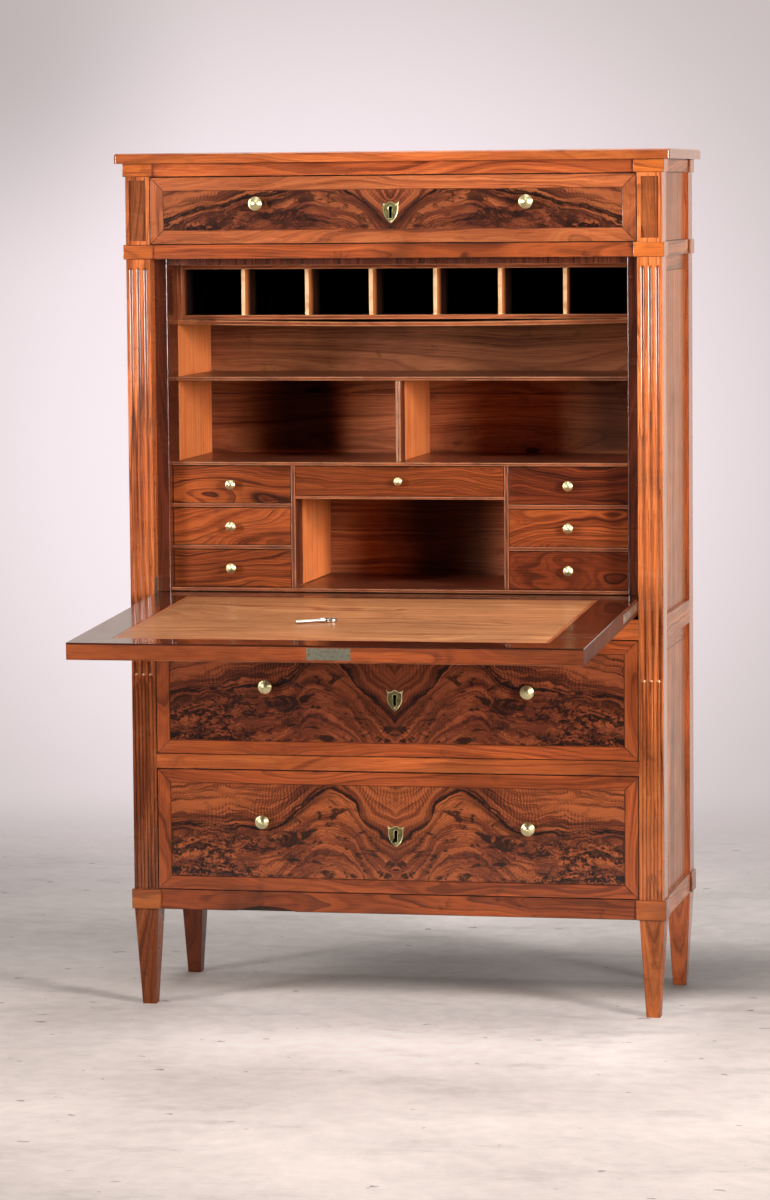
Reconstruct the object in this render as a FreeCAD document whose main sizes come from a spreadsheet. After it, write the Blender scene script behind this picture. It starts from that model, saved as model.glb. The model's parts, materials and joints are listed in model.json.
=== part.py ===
import FreeCAD, Part
import math
import os
import re
import Sketcher

# A walnut drop-front writing cabinet in the Louis XVI manner: a frieze drawer, a fall front that opens
# into a writing surface before a fitted compartment, two long drawers, and a square tapered leg under
# each corner post. Millimetres, +Z up, the front looks along -Y, and x = 0 is the middle of the front.
# Pieces are worked out with y = 0 at the front face of the posts and z = 0 at the floor. Each node then
# moves along Y, so that the origin lies under the middle of the whole model with its fall open.

V = FreeCAD.Vector
DOC = FreeCAD.newDocument("Secretaire")

SIZES = {
    # carcass, from the floor up
    "body_width": 960, "body_depth": 382, "leg_height": 175, "leg_foot": 24, "base_height": 36,
    "lower_opening": 219, "drawer_rail_height": 26, "middle_opening": 213.5, "fall_rail_height": 36,
    "fall_opening": 632.5, "band_height": 26, "frieze_opening": 120, "top_rail_height": 23,
    "top_thickness": 18, "top_side_overhang": 16, "top_front_overhang": 17, "top_back_overhang": 2,
    "top_edge_round": 6, "top_corner_round": 5,
    # posts, rails and panels
    "post_width": 44, "front_post_depth": 46, "rear_post_depth": 50, "rail_depth": 40,
    "block_projection": 4, "block_inset": 6, "flute_radius": 5, "flute_depth": 3.5, "flute_pitch": 13,
    "flute_top_margin": 14, "reed_radius": 3.9, "reed_height": 385, "sunk_panel_margin": 6.5,
    "sunk_panel_depth": 3, "side_rail_thickness": 22, "side_mid_rail_height": 42,
    "side_panel_thickness": 12, "side_panel_recess": 7, "side_head_strip": 26,
    "back_setback": 30, "back_panel_thickness": 14, "back_rail_thickness": 22,
    "worn_hollow_x": -238, "worn_hollow_width": 110, "worn_hollow_depth": 9, "worn_hollow_reach": 6,
    "dust_board_thickness": 10, "runner_width": 24, "runner_height": 14, "guide_width": 22,
    "guide_height": 20,
    # the fitted compartment behind the fall
    "lining_thickness": 23, "lining_round": 3, "stop_setback": 31, "top_stop_height": 11,
    "top_stop_depth": 20, "floor_thickness": 18, "floor_setback": 43, "floor_lip_setback": 32,
    "floor_lip_thickness": 5.5, "floor_rise": 46.5, "nest_setback": 55, "nest_height": 217.5,
    "nest_shelf_thickness": 7, "stack_width": 216, "divider_thickness": 8,
    "centre_drawer_height": 54.5, "nook_rail_thickness": 5,
    "drawer_shelf_setback": 53, "drawer_shelf_thickness": 6.5, "middle_space": 143,
    "upper_shelf_setback": 90, "upper_shelf_thickness": 7.5, "partition_setback": 80,
    "partition_thickness": 9.5, "partition_offset": 6, "case_setback": 105, "case_drop": 12,
    "case_height": 98, "case_board": 8, "case_divider": 7, "case_back": 5, "support_thickness": 8,
    "support_sag": 5,
    # drawers
    "large_gap": 1.5, "rest_gap": 0.8, "slide_gap": 0.3, "banding_width": 24, "banding_thickness": 2,
    "field_thickness": 1, "front_core": 20, "large_side": 11, "large_back": 10, "large_bottom": 7,
    "bottom_lift": 6, "large_back_space": 8, "side_drop": 8, "small_gap": 0.5, "small_front": 10,
    "small_side": 7, "small_bottom": 5, "small_back_space": 17, "knob_spacing": 480, "knob_rise": 15.5,
    "frieze_knob_rise": 11, "frieze_right_shift": 3, "middle_left_shift": 8, "low_right_drop": 3.5,
    "knob_radius": 12.5, "knob_length": 24, "small_knob_radius": 9, "small_knob_length": 18,
    "centre_knob_radius": 7.5, "centre_knob_length": 15, "escutcheon_drop": 5.5,
    "escutcheon_width": 31, "escutcheon_height": 38, "escutcheon_thickness": 1.2,
    "keyhole_radius": 3.6, "keyhole_length": 21, "keyhole_slot": 5,
    "lock_width": 60, "lock_height": 60, "lock_thickness": 12, "bolt_width": 14, "bolt_thickness": 5,
    "bolt_gap": 0.3, "bolt_throw": 8, "mortise_gap": 1,
    # the fall
    "fall_thickness": 29, "fall_side_gap": 1.5, "fall_top_gap": 1.5, "fall_bottom_gap": 2,
    "pivot_setback": 14.5, "pivot_rise": 24, "fall_slope": 2.8, "stop_clearance": 0.3,
    "tail_chamfer": 6.5, "fall_inner_layer": 3, "writing_border": 65, "writing_front_border": 55,
    "writing_recess": 0.3, "plate_thickness": 2.5, "post_plate_width": 22, "post_plate_top": 42.5,
    "post_plate_bottom": 34.5, "fall_plate_length": 196, "fall_plate_tail": 16, "fall_plate_width": 16,
    "pin_radius": 4, "pin_running_gap": 0.05, "pin_length": 9, "pin_bore_gap": 0.6,
    "fall_lock_width": 74, "fall_lock_depth": 64, "fall_lock_thickness": 20, "fall_lock_offset": 11,
    "fall_lock_face_thickness": 2, "fall_bolt_width": 30, "fall_bolt_thickness": 8,
    "fall_keyhole_setback": 46,
    # the key that lies on the writing surface
    "key_barrel_radius": 2.8, "key_barrel_length": 42, "key_collar_radius": 4.2, "key_collar_length": 9,
    "key_neck_radius": 1.5, "key_neck_length": 2, "key_bow_width": 20, "key_bow_thickness": 4,
    "key_bit_height": 9.5, "key_bit_width": 9, "key_bit_thickness": 2.5, "key_bit_margin": 3,
    "key_x": -97, "key_y": -369, "key_turn": 29.5,
}

SHEET = DOC.addObject("Spreadsheet::Sheet", "Sizes")
for row, (alias, number) in enumerate(SIZES.items(), start=1):
    SHEET.set(f"A{row}", alias)
    SHEET.set(f"B{row}", str(number))
    SHEET.setAlias(f"B{row}", alias)
DOC.recompute()

# Places that several pieces share, as expressions on the sheet's aliases.
HALF = "(body_width / 2)"
POST_IN = f"({HALF} - post_width)"
POST_MID = f"({HALF} - post_width / 2)"
REAR_POST_Y = "(body_depth - rear_post_depth)"
INTERIOR_BACK = "(body_depth - back_setback)"
BASE_TOP = "(leg_height + base_height)"
LOWER_TOP = f"({BASE_TOP} + lower_opening)"
DRAWER_RAIL_TOP = f"({LOWER_TOP} + drawer_rail_height)"
MIDDLE_TOP = f"({DRAWER_RAIL_TOP} + middle_opening)"
FALL_RAIL_TOP = f"({MIDDLE_TOP} + fall_rail_height)"
BAND_BOTTOM = f"({FALL_RAIL_TOP} + fall_opening)"
BAND_TOP = f"({BAND_BOTTOM} + band_height)"
FRIEZE_TOP = f"({BAND_TOP} + frieze_opening)"
CASE_TOP = f"({FRIEZE_TOP} + top_rail_height)"
SIDE_MID_TOP = f"({MIDDLE_TOP} + side_mid_rail_height)"
LINING_IN = f"({POST_IN} - lining_thickness)"
FLOOR_TOP = f"({FALL_RAIL_TOP} + floor_rise)"
NEST_TOP = f"({FLOOR_TOP} + nest_height)"
DRAWER_SHELF_TOP = f"({NEST_TOP} + drawer_shelf_thickness)"
UPPER_SHELF_BOTTOM = f"({DRAWER_SHELF_TOP} + middle_space)"
PIGEON_TOP = f"({BAND_BOTTOM} - case_drop)"
PIGEON_BOTTOM = f"({PIGEON_TOP} - case_height)"
STACK_IN = f"({LINING_IN} - stack_width)"
CENTRE_HALF = f"({STACK_IN} - divider_thickness)"
SMALL_OPENING = "((nest_height - 2 * nest_shelf_thickness) / 3)"
CENTRE_BOTTOM = f"({NEST_TOP} - centre_drawer_height)"
DRAWER_HALF = f"({POST_IN} - large_gap)"
FACE_DEPTH = "(banding_thickness + front_core)"
PIVOT_Z = f"({FALL_RAIL_TOP} + pivot_rise)"
FALL_TAIL = "(pivot_rise - fall_bottom_gap)"
FALL_HEIGHT = "(fall_opening - fall_bottom_gap - fall_top_gap)"
FALL_FRONT = f"({FALL_HEIGHT} - {FALL_TAIL})"
FALL_HALF = f"({POST_IN} - fall_side_gap)"
FALL_UNDER = "(-pivot_setback)"
FALL_UPPER = "(fall_thickness - pivot_setback)"
FALL_LOCK_X = ("fall_lock_offset - fall_lock_width / 2", "fall_lock_offset + fall_lock_width / 2")
FALL_LOCK_Z = ("-fall_lock_thickness / 2", "fall_lock_thickness / 2")
STOP_BOTTOM = (f"({PIVOT_Z} + {FALL_UPPER} * cos(fall_slope) + {FALL_TAIL} * sin(fall_slope)"
               " + stop_clearance)")
REACH = f"({FALL_FRONT} * cos(fall_slope) + {FALL_UPPER} * sin(fall_slope) - pivot_setback)"
TO_ORIGIN = f"({REACH} - body_depth - top_back_overhang) / 2"

# Corners of a knob's profile, as shares of its radius and of its length, from the foot to the rim.
KNOB_PROFILE = [(0, 0), (0.62, 0), (0.62, 0.1), (0.42, 0.1), (0.42, 0.38), (0.96, 0.58), (1, 0.66)]

# One side of a keyhole plate's outline as arcs through three points, in shares of its half width and
# half height: from the saddle to the horn, down to the waist, and on to the foot. The hump joins the sides.
SHIELD_SADDLE = (0.4, 0.8)
SHIELD_HUMP = 0.96
SHIELD_ARCS = [(SHIELD_SADDLE, (0.7, 0.82), (1, 1)), ((1, 1), (0.88, 0.64), (0.87, 0.25)),
               ((0.87, 0.25), (0.62, -0.48), (0, -1))]

WORD = re.compile(r"[a-z]+(?:_[a-z]+)+")
AXIS_X = V(1, 0, 0)
AXIS_Y = V(0, 1, 0)
NODES = []


def size(alias):
    """The number that the sheet holds under an alias."""
    return float(getattr(SHEET, alias))


def bind(thing, places):
    """Bind properties of an object to expressions on the sheet's aliases."""
    for place, text in places.items():
        thing.setExpression(place, WORD.sub(lambda found: "Sizes." + found.group(0), str(text)))


def put(thing, x="0", y="0", z="0"):
    """Bind where an object stands."""
    bind(thing, {"Placement.Base.x": x, "Placement.Base.y": y, "Placement.Base.z": z})
    return thing


def node(thing, label):
    """List a piece to be written out, set where the model's origin is the middle of its whole depth."""
    placed = DOC.addObject("Part::Compound", label)
    placed.Links = [thing]
    placed.Label = label
    bind(placed, {"Placement.Base.y": TO_ORIGIN})
    NODES.append(placed)


def box(name, x, y, z):
    """A board between two places along each axis, each given as (low, high)."""
    made = DOC.addObject("Part::Box", name)
    bind(made, {"Length": f"({x[1]}) - ({x[0]})", "Width": f"({y[1]}) - ({y[0]})",
                "Height": f"({z[1]}) - ({z[0]})"})
    return put(made, x[0], y[0], z[0])


def wide_box(name, half, y, z):
    """A board that is centred on x = 0."""
    return box(name, (f"-({half})", half), y, z)


def rod(name, radius, length, x, y, z, rotation=None):
    """A round bar along +Z, or along another axis once it is turned."""
    made = DOC.addObject("Part::Cylinder", name)
    bind(made, {"Radius": radius, "Height": length})
    if rotation:
        made.Placement.Rotation = rotation
    return put(made, x, y, z)


def ball(name, radius, x, y, z):
    """A sphere, for the rounded end of a flute or a reed."""
    made = DOC.addObject("Part::Sphere", name)
    bind(made, {"Radius": radius})
    return put(made, x, y, z)


def fuse(name, parts):
    """One solid from several that meet."""
    made = DOC.addObject("Part::MultiFuse", name)
    made.Shapes = parts
    made.Refine = True
    return made


def cut(name, base, tools):
    """A piece less the hollows in it."""
    made = DOC.addObject("Part::Cut", name)
    made.Base = base
    made.Tool = tools[0] if len(tools) == 1 else fuse(name + "_hollows", tools)
    return made


def turn(thing, axis, angle):
    """Turn a finished piece about an axis through its own origin."""
    thing.Placement.Rotation = FreeCAD.Rotation(axis, angle)
    return thing


def group(name, parts):
    """Separate solids that one node holds."""
    made = DOC.addObject("Part::Compound", name)
    made.Links = parts
    return made


def mirrored(name, source):
    """The same piece on the other side of x = 0."""
    made = DOC.addObject("Part::Mirroring", name)
    made.Source = source
    made.Normal = AXIS_X
    return made


def with_mirror(source):
    """A left piece and its mirror image."""
    return [source, mirrored(source.Name + "_right", source)]


def outline(body, name, role, corners):
    """A closed straight-sided sketch on one of the body's planes, with every corner bound."""
    sketch = body.newObject("Sketcher::SketchObject", name)
    plane = [found for found in body.Origin.OriginFeatures if found.Role == role][0]
    sketch.AttachmentSupport = [(plane, "")]
    sketch.MapMode = "FlatFace"
    count = len(corners)
    ring = [V(10 * math.cos(2 * math.pi * i / count), 10 * math.sin(2 * math.pi * i / count), 0)
            for i in range(count)]
    for i in range(count):
        sketch.addGeometry(Part.LineSegment(ring[i], ring[(i + 1) % count]))
    for i in range(count):
        sketch.addConstraint(Sketcher.Constraint("Coincident", i, 2, (i + 1) % count, 1))
    for i, (x, y) in enumerate(corners):
        for kind, start, text in (("DistanceX", ring[i].x, x), ("DistanceY", ring[i].y, y)):
            index = sketch.addConstraint(Sketcher.Constraint(kind, -1, 1, i, 1, start))
            sketch.renameConstraint(index, f"{kind}_{i}")
            bind(sketch, {f"Constraints.{kind}_{i}": text})
    return sketch


def padded_body(name, role, corners, length):
    """A body padded from one straight-sided sketch."""
    body = DOC.addObject("PartDesign::Body", name)
    sketch = outline(body, name + "_outline", role, corners)
    pad = body.newObject("PartDesign::Pad", name + "_pad")
    pad.Profile = sketch
    bind(pad, {"Length": length})
    return body, pad


def mitred_member(name, half, width, inner_low, inner_high, thickness):
    """A frame member with mitred ends: its outer edge along X at y = 0, its width along +Y."""
    made = DOC.addObject("Part::Wedge", name)
    bind(made, {"Xmin": f"-({half})", "Xmax": half, "X2min": f"-({half}) + ({inner_low})",
                "X2max": f"({half}) - ({inner_high})", "Ymin": "0", "Ymax": width,
                "Zmin": "0", "Zmax": thickness, "Z2min": "0", "Z2max": thickness})
    return made


def upright_frame(name, half, low, high, band, front, thickness):
    """Four mitred bands round an upright rectangle whose face looks along -Y."""
    tall = f"(({high}) - ({low})) / 2"
    upright = FreeCAD.Rotation(AXIS_X, 90)
    sides = (("bottom", half, 0, "0", low), ("left", tall, 90, f"-({half})", f"({low}) + {tall}"),
             ("top", half, 180, "0", high), ("right", tall, 270, half, f"({low}) + {tall}"))
    members = []
    for side, length, angle, x, z in sides:
        member = mitred_member(f"{name}_{side}", length, band, band, band, thickness)
        member.Placement.Rotation = FreeCAD.Rotation(AXIS_Y, angle).multiply(upright)
        members.append(put(member, x, f"({front}) + ({thickness})", z))
    return members


def flat_frame(name, half, back, front, borders, z, thickness):
    """Four mitred borders round a level rectangle from y = front to y = back."""
    side, rear, fore = borders
    deep = f"(({back}) - ({front})) / 2"
    middle = f"({front}) + {deep}"
    places = (("front", half, fore, side, side, 0, "0", front),
              ("right", deep, side, fore, rear, 90, half, middle),
              ("back", half, rear, side, side, 180, "0", back),
              ("left", deep, side, rear, fore, 270, f"-({half})", middle))
    members = []
    for name_end, length, width, low, high, angle, x, y in places:
        member = mitred_member(f"{name}_{name_end}", length, width, low, high, thickness)
        member.Placement.Rotation = FreeCAD.Rotation(V(0, 0, 1), angle)
        members.append(put(member, x, y, z))
    return members


# ---------------------------------------------------------------- carcass


def top_board():
    """The overhanging top, with a rounded upper edge."""
    half = f"{HALF} + top_side_overhang"
    front = "-top_front_overhang"
    back = "body_depth + top_back_overhang"
    body, pad = padded_body("Top", "XY_Plane", [(f"-({half})", front), (half, front), (half, back),
                                                (f"-({half})", back)], "top_thickness")
    DOC.recompute()
    upright = [f"Edge{i + 1}" for i, edge in enumerate(pad.Shape.Edges)
               if abs(edge.Length - size("top_thickness")) < 1e-3]
    corners = body.newObject("PartDesign::Fillet", "Top_corners")
    corners.Base = (pad, upright)
    bind(corners, {"Radius": "top_corner_round"})
    DOC.recompute()
    upper = [f"Edge{i + 1}" for i, edge in enumerate(corners.Shape.Edges)
             if edge.BoundBox.ZMin > size("top_thickness") - 1e-3]
    edge_round = body.newObject("PartDesign::Fillet", "Top_edge")
    edge_round.Base = (corners, upper)
    bind(edge_round, {"Radius": "top_edge_round"})
    body.Tip = edge_round
    node(put(body, z=CASE_TOP), "top_board")


def leg_and_post(name, depth, y_low):
    """A square post with its tapered leg, on the left."""
    post = box(name + "_post", (f"-{HALF}", f"-{POST_IN}"), (y_low, f"{y_low} + {depth}"),
               ("leg_height", CASE_TOP))
    leg = DOC.addObject("Part::Wedge", name + "_leg")
    bind(leg, {"Xmin": "-leg_foot / 2", "Xmax": "leg_foot / 2", "X2min": "-post_width / 2",
               "X2max": "post_width / 2", "Ymin": "0", "Ymax": "leg_height",
               "Zmin": "-leg_foot / 2", "Zmax": "leg_foot / 2", "Z2min": f"-{depth} / 2",
               "Z2max": f"{depth} / 2"})
    leg.Placement.Rotation = FreeCAD.Rotation(AXIS_X, 90)
    put(leg, f"-{POST_MID}", f"{y_low} + {depth} / 2", "0")
    return post, leg


def front_posts():
    """Front posts: a fluted pilaster, its flutes stopped with reeds, and a sunk frieze panel."""
    post, leg = leg_and_post("Front", "front_post_depth", "0")
    flute_y = "flute_depth - flute_radius"
    flute_top = f"({BAND_BOTTOM} - flute_top_margin - flute_radius)"
    hollows = []
    reeds = []
    for i in (-1, 0, 1):
        x = f"-{POST_MID} + {i} * flute_pitch"
        hollows.append(rod(f"Flute_{i + 1}", "flute_radius", f"{flute_top} - {BASE_TOP}", x, flute_y,
                           BASE_TOP))
        hollows.append(ball(f"Flute_top_{i + 1}", "flute_radius", x, flute_y, flute_top))
        reeds.append(rod(f"Reed_{i + 1}", "reed_radius", "reed_height", x, "reed_radius", BASE_TOP))
        reeds.append(ball(f"Reed_top_{i + 1}", "reed_radius", x, "reed_radius",
                          f"{BASE_TOP} + reed_height"))
    hollows.append(box("Sunk_panel", (f"-{HALF} + sunk_panel_margin", f"-{POST_IN} - sunk_panel_margin"),
                       ("-sunk_panel_depth", "sunk_panel_depth"),
                       (f"{BAND_TOP} + sunk_panel_margin", f"{FRIEZE_TOP} - sunk_panel_margin")))
    hollows.append(box("Post_plate_seat", (f"-{POST_IN} - plate_thickness", f"-{POST_IN} + plate_thickness"),
                       ("pivot_setback - post_plate_width / 2", "pivot_setback + post_plate_width / 2"),
                       (f"{PIVOT_Z} - post_plate_bottom", f"{PIVOT_Z} + post_plate_top")))
    carved = cut("Front_post_carved", fuse("Front_post_blank", [post, leg]), hollows)
    left, right = with_mirror(fuse("Front_post", [carved] + reeds))
    node(left, "front_post_left")
    node(right, "front_post_right")


def rear_posts():
    """Plain rear posts."""
    post, leg = leg_and_post("Rear", "rear_post_depth", REAR_POST_Y)
    left, right = with_mirror(fuse("Rear_post", [post, leg]))
    node(left, "rear_post_left")
    node(right, "rear_post_right")


def corner_blocks():
    """Applied blocks that break forward over each post at the base, the band and the top rail."""
    blocks = []
    inner = f"-{POST_IN} + block_inset"
    outer = f"-{HALF} - block_projection"
    for level, low, high in (("base", "leg_height", BASE_TOP), ("band", BAND_BOTTOM, BAND_TOP),
                             ("top", FRIEZE_TOP, CASE_TOP)):
        corners = [(outer, "-block_projection"), (inner, "-block_projection"),
                   (inner, "0"), (f"-{HALF}", "0"),
                   (f"-{HALF}", "front_post_depth"), (outer, "front_post_depth")]
        body, pad = padded_body(f"Block_{level}", "XY_Plane", corners, f"{high} - {low}")
        body.Tip = pad
        put(body, z=low)
        rear = box(f"Rear_block_{level}", (outer, f"-{HALF}"), (REAR_POST_Y, "body_depth"), (low, high))
        blocks += with_mirror(body) + with_mirror(rear)
    node(group("Corner_blocks", blocks), "corner_blocks")


def front_rail(label, low, high, mortise):
    """A rail between the front posts, with a mortise in its underside for a bolt."""
    centre, half, y_low, y_high = mortise
    rail = wide_box(label + "_board", POST_IN, ("0", "rail_depth"), (low, high))
    hollow = box(label + "_mortise", (f"{centre} - ({half})", f"{centre} + ({half})"), (y_low, y_high),
                 (f"{low} - mortise_gap", f"{low} + bolt_throw + mortise_gap"))
    node(cut(label + "_mortised", rail, [hollow]), label)


def front_rails():
    """The five rails that part the drawers and the fall; the lowest is worn hollow along its lower edge."""
    drawer_bolt = ("0", "bolt_width / 2 + mortise_gap", f"{FACE_DEPTH} + mortise_gap",
                   f"{FACE_DEPTH} + bolt_thickness + 3 * mortise_gap")
    fall_bolt = ("fall_lock_offset", "fall_bolt_width / 2 + mortise_gap",
                 "pivot_setback - fall_bolt_thickness / 2 - mortise_gap",
                 "pivot_setback + fall_bolt_thickness / 2 + mortise_gap")
    front_rail("top_rail", FRIEZE_TOP, CASE_TOP, drawer_bolt)
    front_rail("band_rail", BAND_BOTTOM, BAND_TOP, fall_bolt)
    front_rail("fall_rail", MIDDLE_TOP, FALL_RAIL_TOP, drawer_bolt)
    front_rail("drawer_rail", LOWER_TOP, DRAWER_RAIL_TOP, drawer_bolt)
    hollow_radius = ("(worn_hollow_width * worn_hollow_width / 4 + worn_hollow_depth * worn_hollow_depth)"
                     " / (2 * worn_hollow_depth)")
    hollow = rod("Worn_hollow", hollow_radius, "2 * worn_hollow_reach", "worn_hollow_x", "-worn_hollow_reach",
                 f"leg_height + worn_hollow_depth - {hollow_radius}", FreeCAD.Rotation(AXIS_X, -90))
    base = wide_box("Base_rail_board", POST_IN, ("0", "rail_depth"), ("leg_height", BASE_TOP))
    node(cut("Base_rail_worn", base, [hollow]), "base_rail")


def side_frames():
    """Rails and sunk panels of the two sides."""
    y = ("front_post_depth", REAR_POST_Y)
    rail_x = (f"-{HALF}", f"-{HALF} + side_rail_thickness")
    panel_x = (f"-{HALF} + side_panel_recess", f"-{HALF} + side_panel_recess + side_panel_thickness")
    rails = []
    for name, low, high in (("Top", FRIEZE_TOP, CASE_TOP), ("Band", BAND_BOTTOM, BAND_TOP),
                            ("Mid", MIDDLE_TOP, SIDE_MID_TOP), ("Base", "leg_height", BASE_TOP)):
        rail = box(f"Side_rail_{name}", rail_x, y, (low, high))
        rails += with_mirror(rail)
    node(group("Side_rails", rails), "side_rails")
    panels = []
    for name, low, high in (("Frieze", BAND_TOP, FRIEZE_TOP),
                            ("Upper", SIDE_MID_TOP, f"{BAND_BOTTOM} - side_head_strip"),
                            ("Upper_head", f"{BAND_BOTTOM} - side_head_strip", BAND_BOTTOM),
                            ("Lower", BASE_TOP, f"{MIDDLE_TOP} - side_head_strip"),
                            ("Lower_head", f"{MIDDLE_TOP} - side_head_strip", MIDDLE_TOP)):
        panel = box(f"Side_panel_{name}", panel_x, y, (low, high))
        panels += with_mirror(panel)
    node(group("Side_panels", panels), "side_panels")


def back():
    """Rails and boards that close the back between the rear posts."""
    levels = (("Top", FRIEZE_TOP, CASE_TOP), ("Band", BAND_BOTTOM, BAND_TOP),
              ("Mid", MIDDLE_TOP, FALL_RAIL_TOP), ("Base", "leg_height", BASE_TOP))
    rails = [wide_box(f"Back_rail_{name}", POST_IN,
                      (INTERIOR_BACK, f"{INTERIOR_BACK} + back_rail_thickness"), (low, high))
             for name, low, high in levels]
    node(group("Back_rails", rails), "back_rails")
    fields = (("Frieze", BAND_TOP, FRIEZE_TOP), ("Upper", FALL_RAIL_TOP, BAND_BOTTOM),
              ("Lower", BASE_TOP, MIDDLE_TOP))
    panels = [wide_box(f"Back_panel_{name}", POST_IN,
                       (INTERIOR_BACK, f"{INTERIOR_BACK} + back_panel_thickness"), (low, high))
              for name, low, high in fields]
    node(group("Back_panels", panels), "back_panels")


def dust_boards():
    """The bottom board, and the ceiling of the compartment under the frieze drawer."""
    y = ("rail_depth", INTERIOR_BACK)
    low = f"{BASE_TOP} - runner_height"
    bottom = wide_box("Bottom_board", POST_IN, y, (f"{low} - dust_board_thickness", low))
    ceiling = wide_box("Ceiling_board", POST_IN, y, (BAND_BOTTOM, f"{BAND_TOP} - runner_height"))
    node(group("Dust_boards", [bottom, ceiling]), "dust_boards")


def drawer_runners():
    """Under each end of the three large drawers, a runner and the guide beside it."""
    runners = []
    for name, top in (("Lower", BASE_TOP), ("Middle", DRAWER_RAIL_TOP), ("Frieze", BAND_TOP)):
        bar = box(f"{name}_runner_bar", (f"-{POST_IN}", f"-{POST_IN} + runner_width"),
                  ("rail_depth", INTERIOR_BACK), (f"{top} - runner_height", top))
        guide = box(f"{name}_runner_guide", (f"-{POST_IN} - guide_width", f"-{POST_IN}"),
                    ("front_post_depth", REAR_POST_Y),
                    (f"{top} - runner_height", f"{top} + guide_height"))
        runners += with_mirror(fuse(f"{name}_runner", [bar, guide]))
    node(group("Drawer_runners", runners), "drawer_runners")


# ---------------------------------------------------------------- fitted compartment


def linings():
    """Side linings whose front edges stop the closed fall and the open one, and the top stop."""
    corners = [("stop_setback", STOP_BOTTOM), ("floor_setback", STOP_BOTTOM),
               ("floor_setback", FLOOR_TOP), (INTERIOR_BACK, FLOOR_TOP),
               (INTERIOR_BACK, BAND_BOTTOM), ("stop_setback", BAND_BOTTOM)]
    lining, pad = padded_body("Lining", "YZ_Plane", corners, "lining_thickness")
    DOC.recompute()
    inner_front = [f"Edge{i + 1}" for i, edge in enumerate(pad.Shape.Edges)
                   if edge.BoundBox.XMin > size("lining_thickness") - 1e-3
                   and edge.BoundBox.YMax < size("stop_setback") + 1e-3]
    bead = lining.newObject("PartDesign::Fillet", "Lining_bead")
    bead.Base = (pad, inner_front)
    bind(bead, {"Radius": "lining_round"})
    lining.Tip = bead
    put(lining, f"-{POST_IN}")
    top_stop = wide_box("Top_stop", LINING_IN, ("stop_setback", "stop_setback + top_stop_depth"),
                        (f"{BAND_BOTTOM} - top_stop_height", BAND_BOTTOM))
    node(group("Linings_and_stop", with_mirror(lining) + [top_stop]), "compartment_linings")


def cabinet_floor():
    """The floor of the compartment, with a thin lip that reaches out over the tail of the open fall."""
    board = wide_box("Floor_board", POST_IN, ("floor_setback", INTERIOR_BACK),
                     (f"{FLOOR_TOP} - floor_thickness", FLOOR_TOP))
    lip = wide_box("Floor_lip", LINING_IN, ("floor_lip_setback", "floor_setback"),
                   (f"{FLOOR_TOP} - floor_lip_thickness", FLOOR_TOP))
    node(fuse("Cabinet_floor", [board, lip]), "cabinet_floor")


def drawer_nest():
    """Two uprights and the shelves that carry the small drawers, with the nook in the middle."""
    y = ("nest_setback", INTERIOR_BACK)
    parts = []
    parts += with_mirror(box("Nest_upright", (f"-{STACK_IN}", f"-{CENTRE_HALF}"), y,
                             (FLOOR_TOP, NEST_TOP)))
    for i in (1, 2):
        low = f"{FLOOR_TOP} + {i} * {SMALL_OPENING} + {i - 1} * nest_shelf_thickness"
        parts += with_mirror(box(f"Nest_shelf_{i}", (f"-{LINING_IN}", f"-{STACK_IN}"), y,
                                 (low, f"{low} + nest_shelf_thickness")))
    parts.append(wide_box("Nook_rail", CENTRE_HALF, y,
                          (f"{CENTRE_BOTTOM} - nook_rail_thickness", CENTRE_BOTTOM)))
    node(group("Drawer_nest", parts), "drawer_nest")


def shelves():
    """The shelf over the small drawers, the shelf above it and the partition between them."""
    node(wide_box("Drawer_shelf", LINING_IN, ("drawer_shelf_setback", INTERIOR_BACK),
                  (NEST_TOP, DRAWER_SHELF_TOP)), "drawer_shelf")
    node(wide_box("Upper_shelf", LINING_IN, ("upper_shelf_setback", INTERIOR_BACK),
                  (UPPER_SHELF_BOTTOM, f"{UPPER_SHELF_BOTTOM} + upper_shelf_thickness")), "upper_shelf")
    node(box("Centre_partition", ("-partition_offset - partition_thickness / 2",
                                  "-partition_offset + partition_thickness / 2"),
             ("partition_setback", INTERIOR_BACK), (DRAWER_SHELF_TOP, UPPER_SHELF_BOTTOM)),
         "centre_partition")


def pigeonholes():
    """Seven pigeonholes in a case of thin boards, and the sagging shelf that it stands on."""
    y = ("case_setback", INTERIOR_BACK)
    inner = f"({LINING_IN} - case_board)"
    side = box("Case_side", (f"-{LINING_IN}", f"-{inner}"), y, (PIGEON_BOTTOM, PIGEON_TOP))
    boards = with_mirror(side)
    boards.append(wide_box("Case_bottom", inner, y, (PIGEON_BOTTOM, f"{PIGEON_BOTTOM} + case_board")))
    boards.append(wide_box("Case_top", inner, y, (f"{PIGEON_TOP} - case_board", PIGEON_TOP)))
    inside = (f"{PIGEON_BOTTOM} + case_board", f"{PIGEON_TOP} - case_board")
    boards.append(wide_box("Case_back", inner, (f"{INTERIOR_BACK} - case_back", INTERIOR_BACK), inside))
    node(group("Pigeonhole_case", boards), "pigeonhole_case")
    holes = 7
    pitch = f"((2 * {inner} + case_divider) / {holes})"
    dividers = [box(f"Case_divider_{i}", (f"-{inner} + {i} * {pitch} - case_divider",
                                          f"-{inner} + {i} * {pitch}"),
                    ("case_setback", f"{INTERIOR_BACK} - case_back"), inside)
                for i in range(1, holes)]
    node(group("Pigeonhole_dividers", dividers), "pigeonhole_dividers")
    node(support_shelf(), "support_shelf")


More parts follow.
